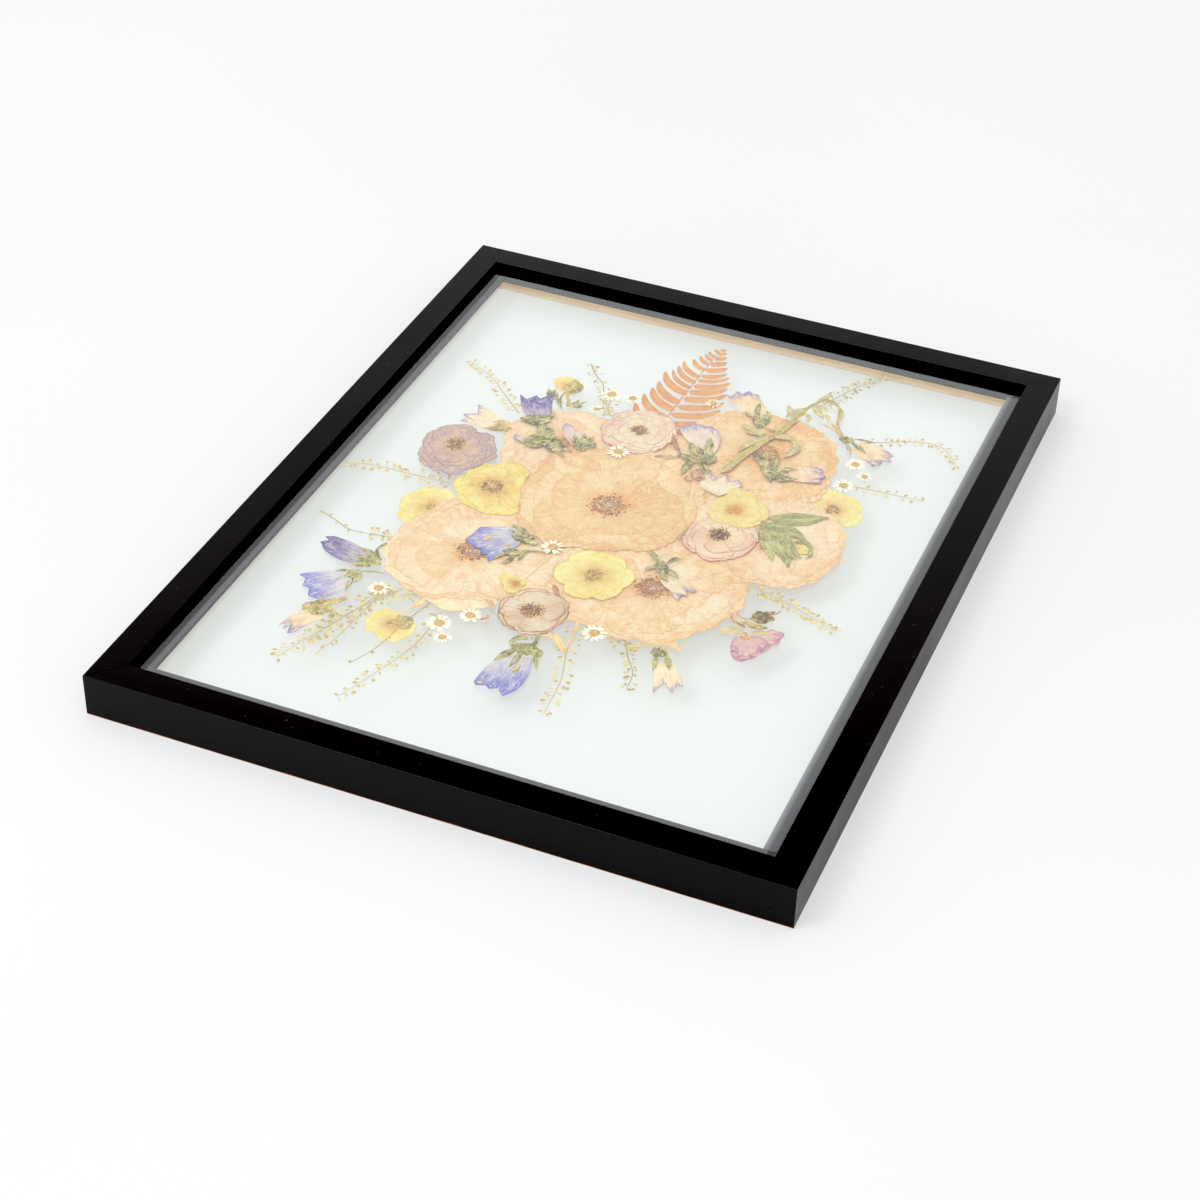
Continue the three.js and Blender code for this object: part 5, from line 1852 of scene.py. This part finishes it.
def make_spray(name, layer, node, line, count, near, far, long, wide, tint):
    """A thin bent stem with seeds on short stalks to both sides."""
    rng = random.Random(name)
    height = layer_height(layer) + 0.12
    spaced, ways = soft_line(line, SPRAY_SPOTS)
    last = SPRAY_SPOTS - 1
    seeds, stalks = [], []
    for k in range(count):
        spot = min(int((k + rng.random()) / count * last), last)
        side = 1 if k % 2 else -1
        if rng.random() < 0.15:
            side = -side
        shrink = 1 - 0.3 * spot / last
        out = rng.uniform(near, far) * shrink
        (x, y), (wx, wy) = spaced[spot], ways[spot]
        lean = rng.uniform(0.2, 0.9) * out
        sx, sy = x + wx * lean - wy * side * out, y + wy * lean + wx * side * out
        angle = math.atan2(sy - y, sx - x)
        z = height + rng.uniform(-0.03, 0.03)
        size = rng.uniform(0.72, 1.12)
        spin = angle + rng.uniform(-0.5, 0.5)
        seeds.append((placing(sx, sy, z, long * size, wide * size, 0.2, spin), rng.random()))
        length = math.hypot(sx - x, sy - y)
        matrix = placing((x + sx) / 2, (y + sy) / 2, z - 0.02, length, 0.26, 0.1, angle)
        stalks.append((matrix, 0.8))
    parts = [copies(ball(8, 6), seeds), copies(ball(4, 4), stalks)]
    parts.append(stem(line, 0.85, 0.35, height - 0.02, 0.75, rows=40))
    finish_piece(join(parts, name), [seed_look(tint)], node)


class FLOWERFRAME_OT_sprays(bpy.types.Operator):
    """Builds the seed sprays"""

    bl_idname = "flower_frame.sprays"
    bl_label = "Seed sprays"

    def execute(self, context):
        for name, values in SPRAYS.items():
            make_spray(name, *values)
        return {"FINISHED"}


# ---- stage ----

CAMERA_PLACE = (0.414457, -1.070110, 0.837321)
CAMERA_FORWARD = (-0.29166, 0.74094, -0.60493)
CAMERA_UP = (-0.25065, 0.55113, 0.79588)
CAMERA_LENS = 77.1
CAMERA_SENSOR = 36
KEY_WAY = (-0.307, -0.509, 0.804)
KEY_DISTANCE = 2.2
FLOOR_SIZE = 14
# (height of the view direction, share of the room's light) low in the room and high up
ROOM_LOW, ROOM_HIGH = (0.54, 1.04), (0.74, 0.92)


def make_camera():
    data = bpy.data.cameras.new("camera")
    data.lens = CAMERA_LENS
    data.sensor_width = CAMERA_SENSOR
    data.clip_start, data.clip_end = 0.05, 50
    camera = bpy.data.objects.new("camera", data)
    bpy.context.collection.objects.link(camera)
    forward = Vector(CAMERA_FORWARD).normalized()
    right = forward.cross(Vector(CAMERA_UP)).normalized()
    up = right.cross(forward)
    turn = Matrix((right, up, -forward)).transposed().to_4x4()
    camera.matrix_world = Matrix.Translation(CAMERA_PLACE) @ turn
    bpy.context.scene.camera = camera


def make_world(strength):
    """A white room, a little brighter low down than overhead."""
    world = bpy.data.worlds.new("white_room")
    bpy.context.scene.world = world
    world.use_nodes = True
    tree = world.node_tree
    background = tree.nodes["Background"]
    background.inputs["Color"].default_value = (1, 1, 1, 1)
    height = tree.nodes.new("ShaderNodeSeparateXYZ")
    tree.links.new(tree.nodes.new("ShaderNodeTexCoord").outputs["Generated"], height.inputs[0])
    fade = tree.nodes.new("ShaderNodeMapRange")
    for name, value in (
        ("From Min", ROOM_LOW[0]), ("From Max", ROOM_HIGH[0]),
        ("To Min", strength * ROOM_LOW[1]), ("To Max", strength * ROOM_HIGH[1]),
    ):
        fade.inputs[name].default_value = value
    tree.links.new(height.outputs["Z"], fade.inputs["Value"])
    tree.links.new(fade.outputs[0], background.inputs["Strength"])


def make_key(power, size):
    data = bpy.data.lights.new("key", "AREA")
    data.energy = power
    data.size = size
    key = bpy.data.objects.new("key", data)
    bpy.context.collection.objects.link(key)
    way = Vector(KEY_WAY).normalized()
    key.location = way * KEY_DISTANCE
    key.rotation_mode = "QUATERNION"
    key.rotation_quaternion = way.to_track_quat("Z", "Y")


def print_like_a_picture(view, black_level):
    """Plain colours, with the deepest greys printed as black."""
    view.view_transform = "Standard"
    view.use_curve_mapping = True
    view.curve_mapping.black_level = (black_level,) * 3
    view.curve_mapping.update()


class FLOWERFRAME_OT_stage(bpy.types.Operator):
    """Builds the floor, the lights and the camera"""

    bl_idname = "flower_frame.stage"
    bl_label = "Stage"

    def execute(self, context):
        settings = context.scene.flower_frame_stage
        deselect_all()
        bpy.ops.mesh.primitive_plane_add(size=FLOOR_SIZE)
        floor = bpy.context.active_object
        floor.name = floor.data.name = "floor"
        floor.data.materials.append(floor_material(settings))
        make_camera()
        make_world(settings.world_strength)
        make_key(settings.key_power, settings.key_size)
        print_like_a_picture(context.scene.view_settings, settings.black_level)
        return {"FINISHED"}


# ---- add-on ----

OPERATORS = (
    FLOWERFRAME_OT_stage,
    FLOWERFRAME_OT_rails,
    FLOWERFRAME_OT_glasses,
    FLOWERFRAME_OT_fixings,
    FLOWERFRAME_OT_blooms,
    FLOWERFRAME_OT_stamens,
    FLOWERFRAME_OT_bells,
    FLOWERFRAME_OT_greens,
    FLOWERFRAME_OT_fern,
    FLOWERFRAME_OT_buds,
    FLOWERFRAME_OT_daisies,
    FLOWERFRAME_OT_sprays,
)


class FLOWERFRAME_PT_panel(bpy.types.Panel):
    """Lists the frame's pieces"""

    bl_label = "Flower Frame"
    bl_idname = "FLOWERFRAME_PT_panel"
    bl_space_type = "VIEW_3D"
    bl_region_type = "UI"
    bl_category = "Flower Frame"

    def draw(self, context):
        for settings in SETTINGS:
            group = getattr(context.scene, settings)
            for name in group.__annotations__:
                self.layout.prop(group, name)
        for operator in OPERATORS:
            self.layout.operator(operator.bl_idname)


SETTINGS = {
    "flower_frame_frame": FrameSettings,
    "flower_frame_glass": GlassSettings,
    "flower_frame_flowers": FlowerSettings,
    "flower_frame_stage": StageSettings,
}


def register():
    for name, group in SETTINGS.items():
        bpy.utils.register_class(group)
        setattr(bpy.types.Scene, name, PointerProperty(type=group))
    for kind in (*OPERATORS, FLOWERFRAME_PT_panel):
        bpy.utils.register_class(kind)


def unregister():
    for kind in (*OPERATORS, FLOWERFRAME_PT_panel):
        bpy.utils.unregister_class(kind)
    for name, group in SETTINGS.items():
        delattr(bpy.types.Scene, name)
        bpy.utils.unregister_class(group)


def call(operator):
    """Runs an operator by its idname."""
    group, name = operator.bl_idname.split(".")
    getattr(getattr(bpy.ops, group), name)()


def main():
    register()
    for operator in OPERATORS:
        call(operator)


if __name__ == "__main__":
    main()
